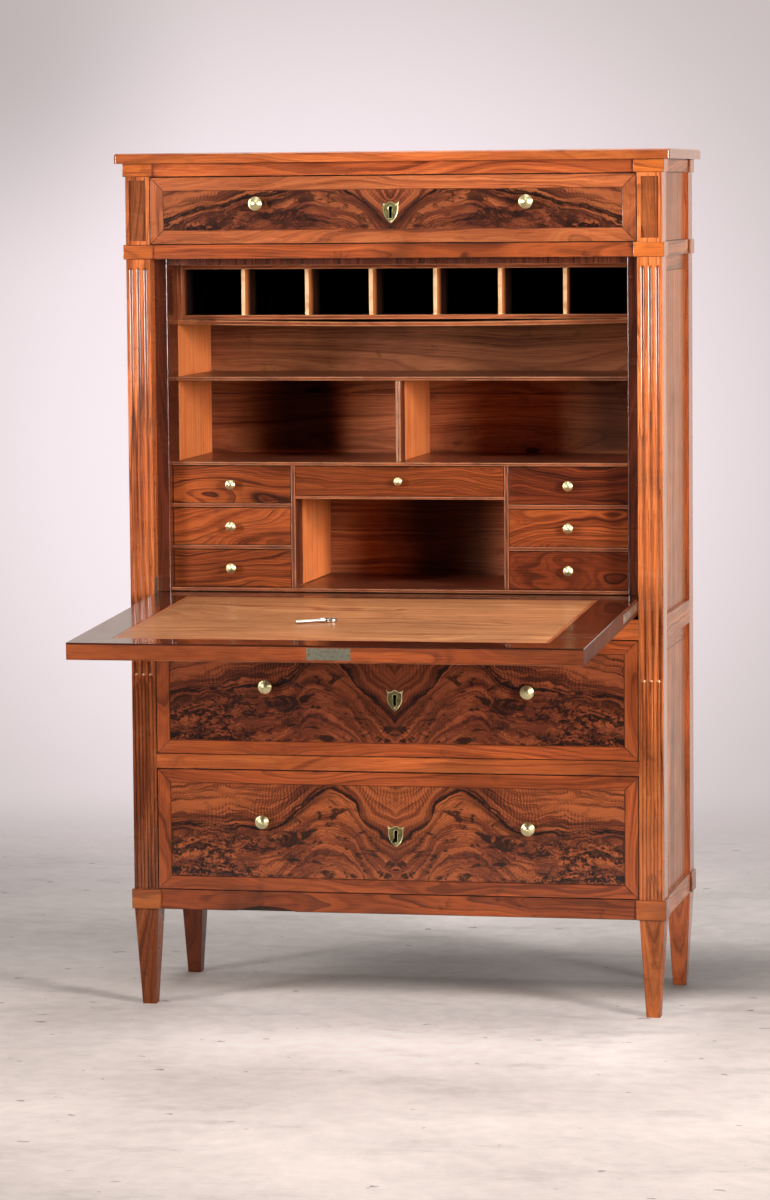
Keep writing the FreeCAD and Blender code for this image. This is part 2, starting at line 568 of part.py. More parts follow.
def support_shelf():
    """A thin shelf that has sagged in the middle: the part of a wide ring that lies between the linings."""
    sag_radius = f"(({LINING_IN} * {LINING_IN} + support_sag * support_sag) / (2 * support_sag))"
    along_y = FreeCAD.Rotation(AXIS_X, -90)
    deep = f"{INTERIOR_BACK} - case_setback"
    centre_z = f"{PIGEON_BOTTOM} - support_sag + {sag_radius}"
    outer = rod("Sag_outer", f"{sag_radius} + support_thickness", deep, "0", "case_setback", centre_z,
                along_y)
    inner = rod("Sag_inner", sag_radius, deep, "0", "case_setback", centre_z, along_y)
    ring = cut("Sag_ring", outer, [inner])
    span = wide_box("Sag_span", LINING_IN, ("case_setback", INTERIOR_BACK),
                    (f"{PIGEON_BOTTOM} - 3 * support_thickness - support_sag", PIGEON_BOTTOM))
    shelf = DOC.addObject("Part::Common", "Support_shelf")
    shelf.Base = span
    shelf.Tool = ring
    return shelf


# ---------------------------------------------------------------- brasses


def knob(name, radius, length, x, y, z):
    """A round knob that points along -Y: a foot, a neck, a flared underside and a domed face."""
    wide = size(radius)
    long = size(length)
    body = DOC.addObject("PartDesign::Body", name)
    sketch = body.newObject("Sketcher::SketchObject", name + "_profile")
    plane = [found for found in body.Origin.OriginFeatures if found.Role == "XY_Plane"][0]
    sketch.AttachmentSupport = [(plane, "")]
    sketch.MapMode = "FlatFace"
    corners = KNOB_PROFILE + [(0, 1)]
    points = [V(wide * across, -long * out, 0) for across, out in corners]
    dome = points[-2].y - points[-1].y
    ball_radius = (wide * wide + dome * dome) / (2 * dome)
    centre = V(0, ball_radius - long, 0)
    rim_angle = math.atan2(points[-2].y - centre.y, wide)
    for start, end in zip(points[:-2], points[1:-1]):
        sketch.addGeometry(Part.LineSegment(start, end))
    circle = Part.Circle(centre, V(0, 0, 1), ball_radius)
    arc = sketch.addGeometry(Part.ArcOfCircle(circle, -math.pi / 2, rim_angle))
    spine = sketch.addGeometry(Part.LineSegment(points[-1], points[0]))
    for i in range(arc - 1):
        sketch.addConstraint(Sketcher.Constraint("Coincident", i, 2, i + 1, 1))
    sketch.addConstraint(Sketcher.Constraint("Coincident", arc - 1, 2, arc, 2))
    sketch.addConstraint(Sketcher.Constraint("Coincident", arc, 1, spine, 1))
    sketch.addConstraint(Sketcher.Constraint("Coincident", spine, 2, 0, 1))
    sketch.addConstraint(Sketcher.Constraint("DistanceX", -1, 1, arc, 3, 0))
    ends = [(i, 1) for i in range(arc)] + [(arc, 2), (arc, 1)]
    for i, ((piece, end), (across, out)) in enumerate(zip(ends, corners)):
        for kind, start, text in (("DistanceX", wide * across, f"{radius} * {across}"),
                                  ("DistanceY", -long * out, f"-{length} * {out}")):
            index = sketch.addConstraint(Sketcher.Constraint(kind, -1, 1, piece, end, start))
            sketch.renameConstraint(index, f"{kind}_{i}")
            bind(sketch, {f"Constraints.{kind}_{i}": text})
    turned = body.newObject("PartDesign::Revolution", name + "_turned")
    turned.Profile = sketch
    turned.ReferenceAxis = (sketch, ["V_Axis"])
    turned.Angle = 360
    body.Tip = turned
    return put(body, x, y, z)


def keyhole(name, reach):
    """A keyhole cutter along Y through the origin: a round eye over a straight slot."""
    eye_z = "keyhole_length / 2 - keyhole_radius"
    eye = rod(name + "_eye", "keyhole_radius", f"2 * ({reach})", "0", f"-({reach})", eye_z,
              FreeCAD.Rotation(AXIS_X, -90))
    slot = box(name + "_slot", ("-keyhole_slot / 2", "keyhole_slot / 2"), (f"-({reach})", reach),
               ("-keyhole_length / 2", eye_z))
    return fuse(name, [eye, slot])


def shield_face(wide, tall):
    """The shield outline in the XZ plane: two horns, a hump between them and a pointed foot."""
    edges = []
    for arc in SHIELD_ARCS:
        points = [(across * wide / 2, up * tall / 2) for across, up in arc]
        for side in (1, -1):
            edges.append(Part.Arc(*[V(side * x, 0, z) for x, z in points]).toShape())
    saddle_x, saddle_z = SHIELD_SADDLE[0] * wide / 2, SHIELD_SADDLE[1] * tall / 2
    edges.append(Part.Arc(V(saddle_x, 0, saddle_z), V(0, 0, SHIELD_HUMP * tall / 2),
                          V(-saddle_x, 0, saddle_z)).toShape())
    return Part.Face(Part.Wire(Part.__sortEdges__(edges)))


def escutcheon(name):
    """A shield-shaped keyhole plate in front of y = 0; its curved outline is made as a shape."""
    plate = DOC.addObject("Part::Feature", name + "_plate")
    outline_face = shield_face(size("escutcheon_width"), size("escutcheon_height"))
    plate.Shape = outline_face.extrude(V(0, -size("escutcheon_thickness"), 0))
    return cut(name, plate, [keyhole(name + "_hole", "2 * escutcheon_thickness")])


# ---------------------------------------------------------------- drawers


def large_drawer(name, low, opening, left_knob, right_knob):
    """A large drawer: banded front, box, brasses with a rim lock, and the lock's sliding bolt.

    Each knob is given by its x and its height over the middle of the drawer's opening.
    """
    bottom = f"({low} + rest_gap)"
    top = f"({low} + {opening} - large_gap)"
    key_z = f"({low} + {opening} / 2 - escutcheon_drop)"
    hole = put(keyhole(name + "_keyhole", f"2 * {FACE_DEPTH}"), z=key_z)
    core = cut(name + "_core", wide_box(name + "_core_board", DRAWER_HALF,
                                        ("banding_thickness", FACE_DEPTH), (bottom, top)), [hole])
    field = cut(name + "_field", wide_box(name + "_field_board", f"{DRAWER_HALF} - banding_width",
                                          ("banding_thickness - field_thickness", "banding_thickness"),
                                          (f"{bottom} + banding_width", f"{top} - banding_width")),
                [hole])
    bands = upright_frame(name + "_band", DRAWER_HALF, bottom, top, "banding_width", "0",
                          "banding_thickness")
    node(group(name + "_front_boards", [core, field] + bands), name + "_front")

    side_low = f"({low} + slide_gap)"
    side_high = f"({top} - side_drop)"
    back_y = f"({INTERIOR_BACK} - large_back_space)"
    side = box(name + "_side", (f"-{DRAWER_HALF}", f"-{DRAWER_HALF} + large_side"), (FACE_DEPTH, back_y),
               (side_low, side_high))
    inner = f"({DRAWER_HALF} - large_side)"
    rear = wide_box(name + "_rear", inner, (f"{back_y} - large_back", back_y),
                    (f"{side_low} + bottom_lift", side_high))
    floor = wide_box(name + "_floor", inner, (FACE_DEPTH, f"{back_y} - large_back"),
                     (f"{side_low} + bottom_lift", f"{side_low} + bottom_lift + large_bottom"))
    node(group(name + "_box_boards", with_mirror(side) + [rear, floor]), name + "_box")

    face_y = "banding_thickness - field_thickness"
    knobs = [knob(f"{name}_{side}_knob", "knob_radius", "knob_length", x, face_y,
                  f"{low} + {opening} / 2 + {rise}")
             for side, (x, rise) in (("left", left_knob), ("right", right_knob))]
    bolt_y = (f"{FACE_DEPTH} + 2 * mortise_gap", f"{FACE_DEPTH} + 2 * mortise_gap + bolt_thickness")
    case_z = (f"{key_z} - lock_height / 2", f"{key_z} + lock_height / 2")
    lock_case = cut(name + "_lock", wide_box(name + "_lock_case", "lock_width / 2",
                                             (FACE_DEPTH, f"{FACE_DEPTH} + lock_thickness"), case_z),
                    [wide_box(name + "_lock_slot", "bolt_width / 2 + bolt_gap",
                              (f"{bolt_y[0]} - bolt_gap", f"{bolt_y[1]} + bolt_gap"),
                              (f"{key_z} - bolt_throw", f"{case_z[1]} + bolt_throw"))])
    plate = put(escutcheon(name + "_escutcheon"), y=face_y, z=key_z)
    node(group(name + "_brasses", knobs + [plate, lock_case]), name + "_fittings")
    node(wide_box(name + "_bolt_bar", "bolt_width / 2", bolt_y,
                  (f"{key_z} - bolt_throw + bolt_gap", f"{top} - bolt_gap")), name + "_bolt")


def small_drawer(name, x_low, x_high, z_low, opening, knob_sizes):
    """A small drawer of thin boards, and its turned knob."""
    x = (f"{x_low} + small_gap", f"{x_high} - small_gap")
    low = f"({z_low} + slide_gap)"
    high = f"({z_low} + {opening} - 2 * small_gap)"
    front_back = "(nest_setback + small_front)"
    rear = f"({INTERIOR_BACK} - small_back_space)"
    boards = [box(name + "_face", x, ("nest_setback", front_back), (low, high))]
    side_top = f"{high} - small_bottom"
    inner = (f"{x[0]} + small_side", f"{x[1]} - small_side")
    for side, start, end in (("left", x[0], inner[0]), ("right", inner[1], x[1])):
        boards.append(box(f"{name}_{side}_side", (start, end), (front_back, rear), (low, side_top)))
    boards.append(box(name + "_rear", inner, (f"{rear} - small_side", rear), (low, side_top)))
    boards.append(box(name + "_floor", inner, (front_back, f"{rear} - small_side"),
                      (low, f"{low} + small_bottom")))
    node(group(name + "_boards", boards), name)
    middle = f"(({x_low}) + ({x_high})) / 2"
    node(knob(name + "_brass", knob_sizes[0], knob_sizes[1], middle, "nest_setback",
              f"{z_low} + {opening} / 2"), name + "_knob")


def drawers():
    """Three large drawers, six small ones in two stacks and a shallow one between them."""
    left, right = "-knob_spacing / 2", "knob_spacing / 2"
    low_right = (right, "(knob_rise - low_right_drop)")
    large_drawer("frieze_drawer", BAND_TOP, "frieze_opening", (left, "frieze_knob_rise"),
                 (right + " + frieze_right_shift", "frieze_knob_rise"))
    large_drawer("middle_drawer", DRAWER_RAIL_TOP, "middle_opening",
                 (left + " + middle_left_shift", "knob_rise"), low_right)
    large_drawer("lower_drawer", BASE_TOP, "lower_opening", (left, "knob_rise"), low_right)
    small_knob = ("small_knob_radius", "small_knob_length")
    stacks = (("left", f"-{LINING_IN}", f"-{STACK_IN}"), ("right", STACK_IN, LINING_IN))
    for side, x_low, x_high in stacks:
        for i, row_name in enumerate(("bottom", "middle", "top")):
            low = f"({FLOOR_TOP} + {i} * ({SMALL_OPENING} + nest_shelf_thickness))"
            small_drawer(f"{side}_{row_name}_drawer", x_low, x_high, low, SMALL_OPENING, small_knob)
    small_drawer("centre_drawer", f"-{CENTRE_HALF}", CENTRE_HALF, CENTRE_BOTTOM, "centre_drawer_height",
                 ("centre_knob_radius", "centre_knob_length"))


# ---------------------------------------------------------------- the fall


def on_fall(name, parts, label):
    """Turn pieces made level about the pivot down to where the open fall rests."""
    made = turn(group(name, parts), AXIS_X, 1)
    bind(made, {"Placement.Rotation.Angle": "fall_slope"})
    node(put(made, y="pivot_setback", z=PIVOT_Z), label)


def tail_chamfer(name):
    """A cutter for the lower edge of the tail, which swings past the rail."""
    bar = DOC.addObject("Part::Box", name)
    bind(bar, {"Length": f"2 * {HALF}", "Width": "tail_chamfer * sqrt(2)",
               "Height": "tail_chamfer * sqrt(2)"})
    bar.Placement.Rotation = FreeCAD.Rotation(AXIS_X, 45)
    return put(bar, f"-{HALF}", FALL_TAIL, f"{FALL_UNDER} - tail_chamfer")


def under_fall(thing, z):
    """Set a keyhole or its plate on the fall's outer face, its eye towards the free edge."""
    return put(turn(thing, AXIS_X, 90), y=f"-{FALL_FRONT} + fall_keyhole_setback", z=z)


def fall_boards():
    """The fall's board with its outer banding and field, the writing border and the writing surface."""
    core_low = f"({FALL_UNDER} + banding_thickness)"
    core_high = f"({FALL_UPPER} - fall_inner_layer)"
    front = f"-{FALL_FRONT}"
    board = wide_box("Fall_core_board", FALL_HALF, (front, FALL_TAIL), (core_low, core_high))
    seat = box("Fall_plate_seat", (f"-{FALL_HALF} - plate_thickness", f"-{FALL_HALF} + plate_thickness"),
               ("fall_plate_tail - fall_plate_length - bolt_gap", "fall_plate_tail + bolt_gap"),
               ("-fall_plate_width / 2 - bolt_gap", "fall_plate_width / 2 + bolt_gap"))
    bore = rod("Fall_pin_bore", "pin_radius + pin_bore_gap", "pin_length + plate_thickness",
               f"-{FALL_HALF}", "0", "0", FreeCAD.Rotation(AXIS_Y, 90))
    lock_seat = box("Fall_lock_seat", FALL_LOCK_X, (f"{front} - mortise_gap", f"{front} + fall_lock_depth"),
                    FALL_LOCK_Z)
    hole = under_fall(keyhole("Fall_keyhole", "pivot_setback - fall_lock_thickness / 4"), FALL_UNDER)
    hollows = with_mirror(seat) + with_mirror(bore)
    hollows += [lock_seat, hole, tail_chamfer("Fall_core_chamfer")]
    core = cut("Fall_core", board, hollows)
    bands = flat_frame("Fall_band", FALL_HALF, FALL_TAIL, front, ("banding_width",) * 3, FALL_UNDER,
                       "banding_thickness")
    bands[2] = cut("Fall_band_back_chamfered", bands[2], [tail_chamfer("Fall_band_chamfer")])
    for i in (1, 3):
        bands[i] = cut(f"Fall_band_{i}_chamfered", bands[i], [tail_chamfer(f"Fall_band_chamfer_{i}")])
    field = cut("Fall_field", wide_box("Fall_field_board", f"{FALL_HALF} - banding_width",
                                       (f"{front} + banding_width", f"{FALL_TAIL} - banding_width"),
                                       (f"{core_low} - field_thickness", core_low)), [hole])
    on_fall("Fall_board", [core, field] + bands, "fall_board")
    borders = ("writing_border", "writing_border", "writing_front_border")
    on_fall("Writing_border", flat_frame("Writing_border", FALL_HALF, FALL_TAIL, front, borders, core_high,
                                         "fall_inner_layer"), "writing_border")
    surface = wide_box("Writing_sheet", f"{FALL_HALF} - writing_border",
                       (f"{front} + writing_front_border", f"{FALL_TAIL} - writing_border"),
                       (core_high, f"{FALL_UPPER} - writing_recess"))
    on_fall("Writing_surface", [surface], "writing_surface")


def fall_lock():
    """A mortise lock in the free edge of the fall: case, face plate, keyhole plate and sliding bolt."""
    front = f"-{FALL_FRONT}"
    face_end = f"({front} + fall_lock_face_thickness)"
    case = box("Fall_lock_case", FALL_LOCK_X, (face_end, f"{front} + fall_lock_depth"), FALL_LOCK_Z)
    plate = box("Fall_lock_plate", FALL_LOCK_X, (front, face_end), FALL_LOCK_Z)
    bolt_x = ("fall_lock_offset - fall_bolt_width / 2", "fall_lock_offset + fall_bolt_width / 2")
    bolt_end = f"({front} + fall_lock_depth / 2)"
    slot = box("Fall_lock_slot", (f"{bolt_x[0]} - bolt_gap", f"{bolt_x[1]} + bolt_gap"),
               (f"{front} - mortise_gap", f"{bolt_end} + bolt_gap"),
               ("-fall_bolt_thickness / 2 - bolt_gap", "fall_bolt_thickness / 2 + bolt_gap"))
    hole = under_fall(keyhole("Fall_lock_keyhole", "banding_thickness"), "-fall_lock_thickness / 2")
    body = cut("Fall_lock_body", fuse("Fall_lock_blank", [case, plate]), [slot, hole])
    shield = under_fall(escutcheon("Fall_escutcheon"),
                        f"{FALL_UNDER} + banding_thickness - field_thickness")
    on_fall("Fall_lock", [body, shield], "fall_lock")
    bolt = box("Fall_bolt_bar", bolt_x, (front, bolt_end),
               ("-fall_bolt_thickness / 2", "fall_bolt_thickness / 2"))
    on_fall("Fall_bolt", [bolt], "fall_bolt")


def hinges():
    """Knife hinges: a plate with a pivot pin let into each post, and a plate that turns on it."""
    across = FreeCAD.Rotation(AXIS_Y, 90)
    plate = box("Post_plate", (f"-{POST_IN} - plate_thickness", f"-{POST_IN}"),
                ("pivot_setback - post_plate_width / 2", "pivot_setback + post_plate_width / 2"),
                (f"{PIVOT_Z} - post_plate_bottom", f"{PIVOT_Z} + post_plate_top"))
    pin = rod("Post_pin", "pin_radius", "pin_length", f"-{POST_IN}", "pivot_setback", PIVOT_Z, across)
    node(group("Post_hinges", with_mirror(fuse("Post_hinge", [plate, pin]))), "post_hinge_plates")
    leaf = box("Fall_leaf", (f"-{FALL_HALF}", f"-{FALL_HALF} + plate_thickness"),
               ("fall_plate_tail - fall_plate_length", "fall_plate_tail"),
               ("-fall_plate_width / 2", "fall_plate_width / 2"))
    eye = rod("Fall_leaf_eye", "pin_radius + pin_running_gap", "3 * plate_thickness",
              f"-{FALL_HALF} - plate_thickness", "0", "0", across)
    on_fall("Fall_hinge_plates", with_mirror(cut("Fall_leaf_eyed", leaf, [eye])), "fall_hinge_plates")


def key():
    """The key, which lies on the writing surface: bit and barrel, collar, neck and ring bow."""
    along = FreeCAD.Rotation(AXIS_Y, 90)
    collar_end = "(key_barrel_length + key_collar_length)"
    barrel = rod("Key_barrel", "key_barrel_radius", "key_barrel_length", "0", "0", "0", along)
    collar = rod("Key_collar", "key_collar_radius", "key_collar_length", "key_barrel_length", "0", "0", along)
    bow_x = f"{collar_end} + key_neck_length + key_bow_width / 2"
    ring = rod("Key_bow_disc", "key_bow_width / 2", "key_bow_thickness", bow_x, "0",
               "-key_bow_thickness / 2")
    eye = rod("Key_bow_eye", "key_bow_width / 2 - key_bow_thickness", "2 * key_bow_thickness", bow_x, "0",
              "-key_bow_thickness")
    neck = rod("Key_neck", "key_neck_radius", "key_collar_length + key_neck_length + key_bow_thickness / 2",
               "key_barrel_length", "0", "0", along)
    bit = box("Key_bit", ("key_bit_margin", "key_bit_margin + key_bit_width"), ("0", "key_bit_height"),
              ("-key_bit_thickness / 2", "key_bit_thickness / 2"))
    laid = turn(group("Key_laid", [fuse("Key_whole", [barrel, collar, cut("Key_bow", ring, [eye]), neck,
                                                      bit])]), V(0, 0, 1), 1)
    bind(laid, {"Placement.Rotation.Angle": "key_turn"})
    put(laid, "key_x", "key_y", f"{FALL_UPPER} - writing_recess + key_collar_radius")
    on_fall("Key", [laid], "key")


def write_parts():
    """Check every object, then write each piece to its own file."""
    DOC.recompute()
    for thing in DOC.Objects:
        broken = [word for word in ("Invalid", "Error") if word in thing.State]
        if broken:
            raise RuntimeError(f"{thing.Name} is {broken[0]}")
    for piece in NODES:
        shape = piece.Shape
        if shape.isNull() or not shape.isValid() or not shape.Solids:
            raise RuntimeError(f"{piece.Label} has no valid solid")
    os.makedirs("parts", exist_ok=True)
    for piece in NODES:
        piece.Shape.exportStep(f"parts/{piece.Label}.step")
        print(f"{piece.Label}: {len(piece.Shape.Solids)} solids, {piece.Shape.Volume / 1000:.1f} cm3")


top_board()
front_posts()
rear_posts()
corner_blocks()
front_rails()
side_frames()
back()
dust_boards()
drawer_runners()
linings()
cabinet_floor()
drawer_nest()
shelves()
pigeonholes()
drawers()
fall_boards()
fall_lock()
hinges()
key()
write_parts()
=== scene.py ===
"""A walnut drop-front writing cabinet in the Louis XVI manner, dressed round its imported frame.

Lengths are metres, +Z is up and the front looks along -Y. Each sub-assembly is a class whose methods
build its meshes and dress them; each finish is a frozen dataclass that makes its own material.
"""

import json
import logging
import math
import random
from dataclasses import dataclass, replace
from enum import Enum
from typing import Callable, Iterator, Optional, Sequence, Union

import bmesh
import bpy
from mathutils import Matrix, Vector

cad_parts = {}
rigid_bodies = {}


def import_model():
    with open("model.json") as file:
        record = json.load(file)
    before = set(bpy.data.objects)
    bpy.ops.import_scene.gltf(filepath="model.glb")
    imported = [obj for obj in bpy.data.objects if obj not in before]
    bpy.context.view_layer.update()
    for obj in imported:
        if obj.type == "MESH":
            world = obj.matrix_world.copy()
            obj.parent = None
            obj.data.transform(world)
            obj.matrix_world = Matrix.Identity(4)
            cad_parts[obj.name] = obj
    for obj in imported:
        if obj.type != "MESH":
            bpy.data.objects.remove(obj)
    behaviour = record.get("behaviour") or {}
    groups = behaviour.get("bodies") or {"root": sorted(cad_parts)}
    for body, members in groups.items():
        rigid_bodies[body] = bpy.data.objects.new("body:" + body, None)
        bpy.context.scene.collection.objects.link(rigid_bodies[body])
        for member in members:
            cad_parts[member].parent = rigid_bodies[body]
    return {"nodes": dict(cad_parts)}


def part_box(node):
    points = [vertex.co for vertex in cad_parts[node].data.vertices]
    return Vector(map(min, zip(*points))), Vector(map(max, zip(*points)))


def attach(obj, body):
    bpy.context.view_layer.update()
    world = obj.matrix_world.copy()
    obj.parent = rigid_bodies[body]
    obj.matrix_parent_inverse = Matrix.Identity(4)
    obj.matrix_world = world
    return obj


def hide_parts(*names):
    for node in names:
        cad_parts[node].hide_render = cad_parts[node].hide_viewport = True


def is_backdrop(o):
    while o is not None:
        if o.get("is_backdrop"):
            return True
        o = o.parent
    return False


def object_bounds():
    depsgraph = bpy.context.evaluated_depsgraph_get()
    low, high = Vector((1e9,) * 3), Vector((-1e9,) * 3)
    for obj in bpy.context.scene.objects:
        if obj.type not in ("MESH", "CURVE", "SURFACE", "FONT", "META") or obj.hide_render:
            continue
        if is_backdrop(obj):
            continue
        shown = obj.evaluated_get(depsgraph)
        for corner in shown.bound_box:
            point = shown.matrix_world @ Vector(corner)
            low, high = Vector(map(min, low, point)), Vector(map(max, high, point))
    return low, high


for leftover in list(bpy.data.objects):
    bpy.data.objects.remove(leftover)
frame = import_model()
CAD_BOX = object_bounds()

log = logging.getLogger("secretaire")

FACE_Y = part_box("drawer_rail")[0].y
BASE_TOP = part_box("base_rail")[1].z
MIDDLE_TOP, FALL_RAIL_TOP = (corner.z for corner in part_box("fall_rail"))
BAND_BOTTOM, BAND_TOP = (corner.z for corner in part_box("band_rail"))
FRIEZE_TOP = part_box("top_rail")[0].z
POST_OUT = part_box("front_post_right")[1].x
SHELF_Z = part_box("upper_shelf")[0].z
NEST_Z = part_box("drawer_shelf")[1].z
SHARP = math.radians(32)
"""Edges that turn by more than this are bevelled and stay sharp in the shading."""
NEAR = 1e-5
"""Places this close count as one."""
CENTRE = (0.5, 0.5, 0.5)
"""The mean of a coloured noise."""
Triple = tuple[float, float, float]
Pair = tuple[float, float]
Pairs = tuple[Pair, ...]


class Axis(Enum):
    """The direction that a board's grain runs in, as (along, across, deep) indices of a place."""

    X = (0, 2, 1)
    Y = (1, 0, 2)
    Z = (2, 0, 1)
    X_FLAT = (0, 1, 2)
    Y_UPRIGHT = (1, 2, 0)


# ------------------------------------------------------------------ node graphs


class Wire:
    """A node's output. Sums, differences, products and quotients of wires build further nodes."""

    def __init__(self, g: "Graph", socket: bpy.types.NodeSocket) -> None:
        """Remember the graph and the socket."""
        self.g = g
        self.socket = socket

    def __add__(self, other: "Number") -> "Wire":
        """The sum."""
        return self.g.math("ADD", self, other)

    def __sub__(self, other: "Number") -> "Wire":
        """The difference."""
        return self.g.math("SUBTRACT", self, other)

    def __rsub__(self, other: "Number") -> "Wire":
        """The difference from a constant."""
        return self.g.math("SUBTRACT", other, self)

    def __mul__(self, other: "Number") -> "Wire":
        """The product, or the vector scaled."""
        return self.g.math("MULTIPLY", self, other)

    def __truediv__(self, other: "Number") -> "Wire":
        """The quotient."""
        return self.g.math("DIVIDE", self, other)


Number = Union[float, Triple, Wire]


class Graph:
    """A node tree under construction, with one call for each kind of node that the finishes share."""

    def __init__(self, tree: bpy.types.NodeTree) -> None:
        """Start on a material's or a group's node tree."""
        self.tree = tree

    def node(self, kind: str, **settings: object) -> bpy.types.Node:
        """Add a node of a type and set its properties."""
        made = self.tree.nodes.new(kind)
        for name, value in settings.items():
            setattr(made, name, value)
        return made

    def feed(self, socket: bpy.types.NodeSocket, value: Optional[Number]) -> None:
        """Link a wire to an input socket, or set the socket to a constant."""
        if isinstance(value, Wire):
            self.tree.links.new(value.socket, socket)
        elif value is not None:
            socket.default_value = (*value, 1.0) if socket.type == "RGBA" else value

    def fill(self, node: bpy.types.Node, **values: Number) -> bpy.types.Node:
        """Feed a node's inputs by name; underscores in the names stand for spaces."""
        for name, value in values.items():
            self.feed(node.inputs[name.replace("_", " ")], value)
        return node

    def math(self, operation: str, first: Number, second: Optional[Number] = None,
             clamp: bool = False) -> Wire:
        """One step of arithmetic, on vectors where one goes in and on values otherwise."""
        given = (first, second)
        if not any(isinstance(v, Wire) and v.socket.type in ("VECTOR", "RGBA") for v in given):
            made = self.node("ShaderNodeMath", operation=operation, use_clamp=clamp)
        elif operation == "MULTIPLY":
            made = self.node("ShaderNodeVectorMath", operation="SCALE")
            return Wire(self, self.fill(made, Vector=first, Scale=second).outputs["Vector"])
        else:
            made = self.node("ShaderNodeVectorMath", operation=operation)
        for socket, value in zip(made.inputs, given):
            self.feed(socket, value)
        output = "Vector" if made.bl_idname == "ShaderNodeVectorMath" else "Value"
        return Wire(self, made.outputs["Value" if operation in ("LENGTH", "DISTANCE") else output])

    def object_place(self) -> Wire:
        """The object's own coordinates."""
        return Wire(self, self.node("ShaderNodeTexCoord").outputs["Object"])

    def parts(self, vector: Wire) -> list[Wire]:
        """The three parts of a vector."""
        made = self.node("ShaderNodeSeparateXYZ")
        self.feed(made.inputs[0], vector)
        return [Wire(self, output) for output in made.outputs]

    def place(self, x: Number, y: Number, z: Number = 0.0) -> Wire:
        """A vector from its three parts."""
        return Wire(self, self.fill(self.node("ShaderNodeCombineXYZ"), X=x, Y=y, Z=z).outputs[0])

    def noise(self, vector: Wire, stretch: Optional[Triple] = None, shift: Triple = (0, 0, 0), *,
              scale: float = 1.0, detail: float = 2.0, rough: float = 0.5, distortion: float = 0.0,
              output: str = "Fac") -> Wire:
        """Noise at a place.

        Args:
            vector: Where it is read.
            stretch: Scale of the place along each axis, if it isn't one.
            shift: Move of the stretched place.
            scale: Cycles per unit.
            detail: Octaves above the first.
            rough: Strength of each further octave.
            distortion: How far the pattern is warped.
            output: "Fac" or "Color".

        Returns:
            The chosen output.
        """
        if stretch:
            vector = self.stretched(vector, stretch, shift)
        made = self.fill(self.node("ShaderNodeTexNoise"), Vector=vector, Scale=scale, Detail=detail,
                         Roughness=rough, Distortion=distortion)
        return Wire(self, made.outputs[output])

    def stretched(self, vector: Wire, scale: Triple, shift: Triple = (0, 0, 0)) -> Wire:
        """A vector scaled and moved by constants."""
        made = self.node("ShaderNodeVectorMath", operation="MULTIPLY_ADD")
        for socket, value in zip(made.inputs, (vector, scale, shift)):
            self.feed(socket, value)
        return Wire(self, made.outputs[0])

    def lines(self, across: Wire, along: Wire, quick: float, slow: float, seed: Number,
              **settings: float) -> Wire:
        """Noise drawn out into lines: quick across them and slow along them."""
        return self.noise(self.place(across * quick, along * slow, seed), **settings)

    def cells(self, vector: Wire, scale: float, dimensions: str = "3D") -> tuple[Wire, Wire]:
        """Scattered cells: the distance from the nearest middle, and a chance value for each cell."""
        made = self.node("ShaderNodeTexVoronoi", voronoi_dimensions=dimensions)
        self.fill(made, Vector=vector, Scale=scale)
        return Wire(self, made.outputs["Distance"]), self.parts(Wire(self, made.outputs["Color"]))[0]

    def step(self, value: Wire, low: Number, high: Number, first: float = 0.0, last: float = 1.0) -> Wire:
        """A smooth step from first to last as the value goes from low to high."""
        made = self.node("ShaderNodeMapRange", interpolation_type="SMOOTHSTEP")
        for socket, given in zip(made.inputs, (value, low, high, first, last)):
            self.feed(socket, given)
        return Wire(self, made.outputs[0])

    def mix(self, factor: Number, first: Number, second: Number, blend: str = "MIX") -> Wire:
        """One colour laid over another."""
        made = self.node("ShaderNodeMix", data_type="RGBA", blend_type=blend)
        return Wire(self, self.fill(made, Factor=factor, A=first, B=second).outputs["Result"])

    def dimmed(self, colour: Number, tone: Wire) -> Wire:
        """A colour times a grey tone."""
        return self.mix(1.0, colour, self.place(tone, tone, tone), "MULTIPLY")

    def attribute(self, name: str, output: str = "Vector") -> Wire:
        """A value that the mesh carries."""
        return Wire(self, self.node("ShaderNodeAttribute", attribute_name=name).outputs[output])


class SharedGroup:
    """A shader node group that several finishes use, built once on first use.

    Attributes:
        title: The group's name.
        inputs: Names and kinds of what goes in.
        outputs: Names and kinds of what comes out.
    """

    title = ""
    inputs: tuple[tuple[str, str], ...] = ()
    outputs: tuple[tuple[str, str], ...] = ()

    @classmethod
    def tree(cls) -> bpy.types.NodeTree:
        """The group's node tree."""
        if cls.title in bpy.data.node_groups:
            return bpy.data.node_groups[cls.title]
        made = bpy.data.node_groups.new(cls.title, "ShaderNodeTree")
        for way, sockets in (("INPUT", cls.inputs), ("OUTPUT", cls.outputs)):
            for name, kind in sockets:
                made.interface.new_socket(name, in_out=way, socket_type=f"NodeSocket{kind}")
        g = Graph(made)
        entry = g.node("NodeGroupInput").outputs
        drawn = cls.draw(g, {name: Wire(g, entry[name]) for name, _ in cls.inputs})
        g.fill(g.node("NodeGroupOutput"), **drawn)
        return made

    @classmethod
    def use(cls, g: Graph, source: object, **values: Number) -> dict[str, Wire]:
        """Place the group in a graph.

        Args:
            g: The graph.
            source: Gives the inputs that have the names of its fields.
            values: The other inputs.

        Returns:
            The group's outputs by name.
        """
        fields = {name: getattr(source, name.lower().replace(" ", "_"), None) for name, _ in cls.inputs}
        made = g.fill(g.node("ShaderNodeGroup", node_tree=cls.tree()), **fields | values)
        return {name: Wire(g, made.outputs[name]) for name, _ in cls.outputs}

    @classmethod
    def draw(cls, g: Graph, given: dict[str, Wire]) -> dict[str, Wire]:
        """Build the nodes between the inputs and the outputs."""
        raise NotImplementedError


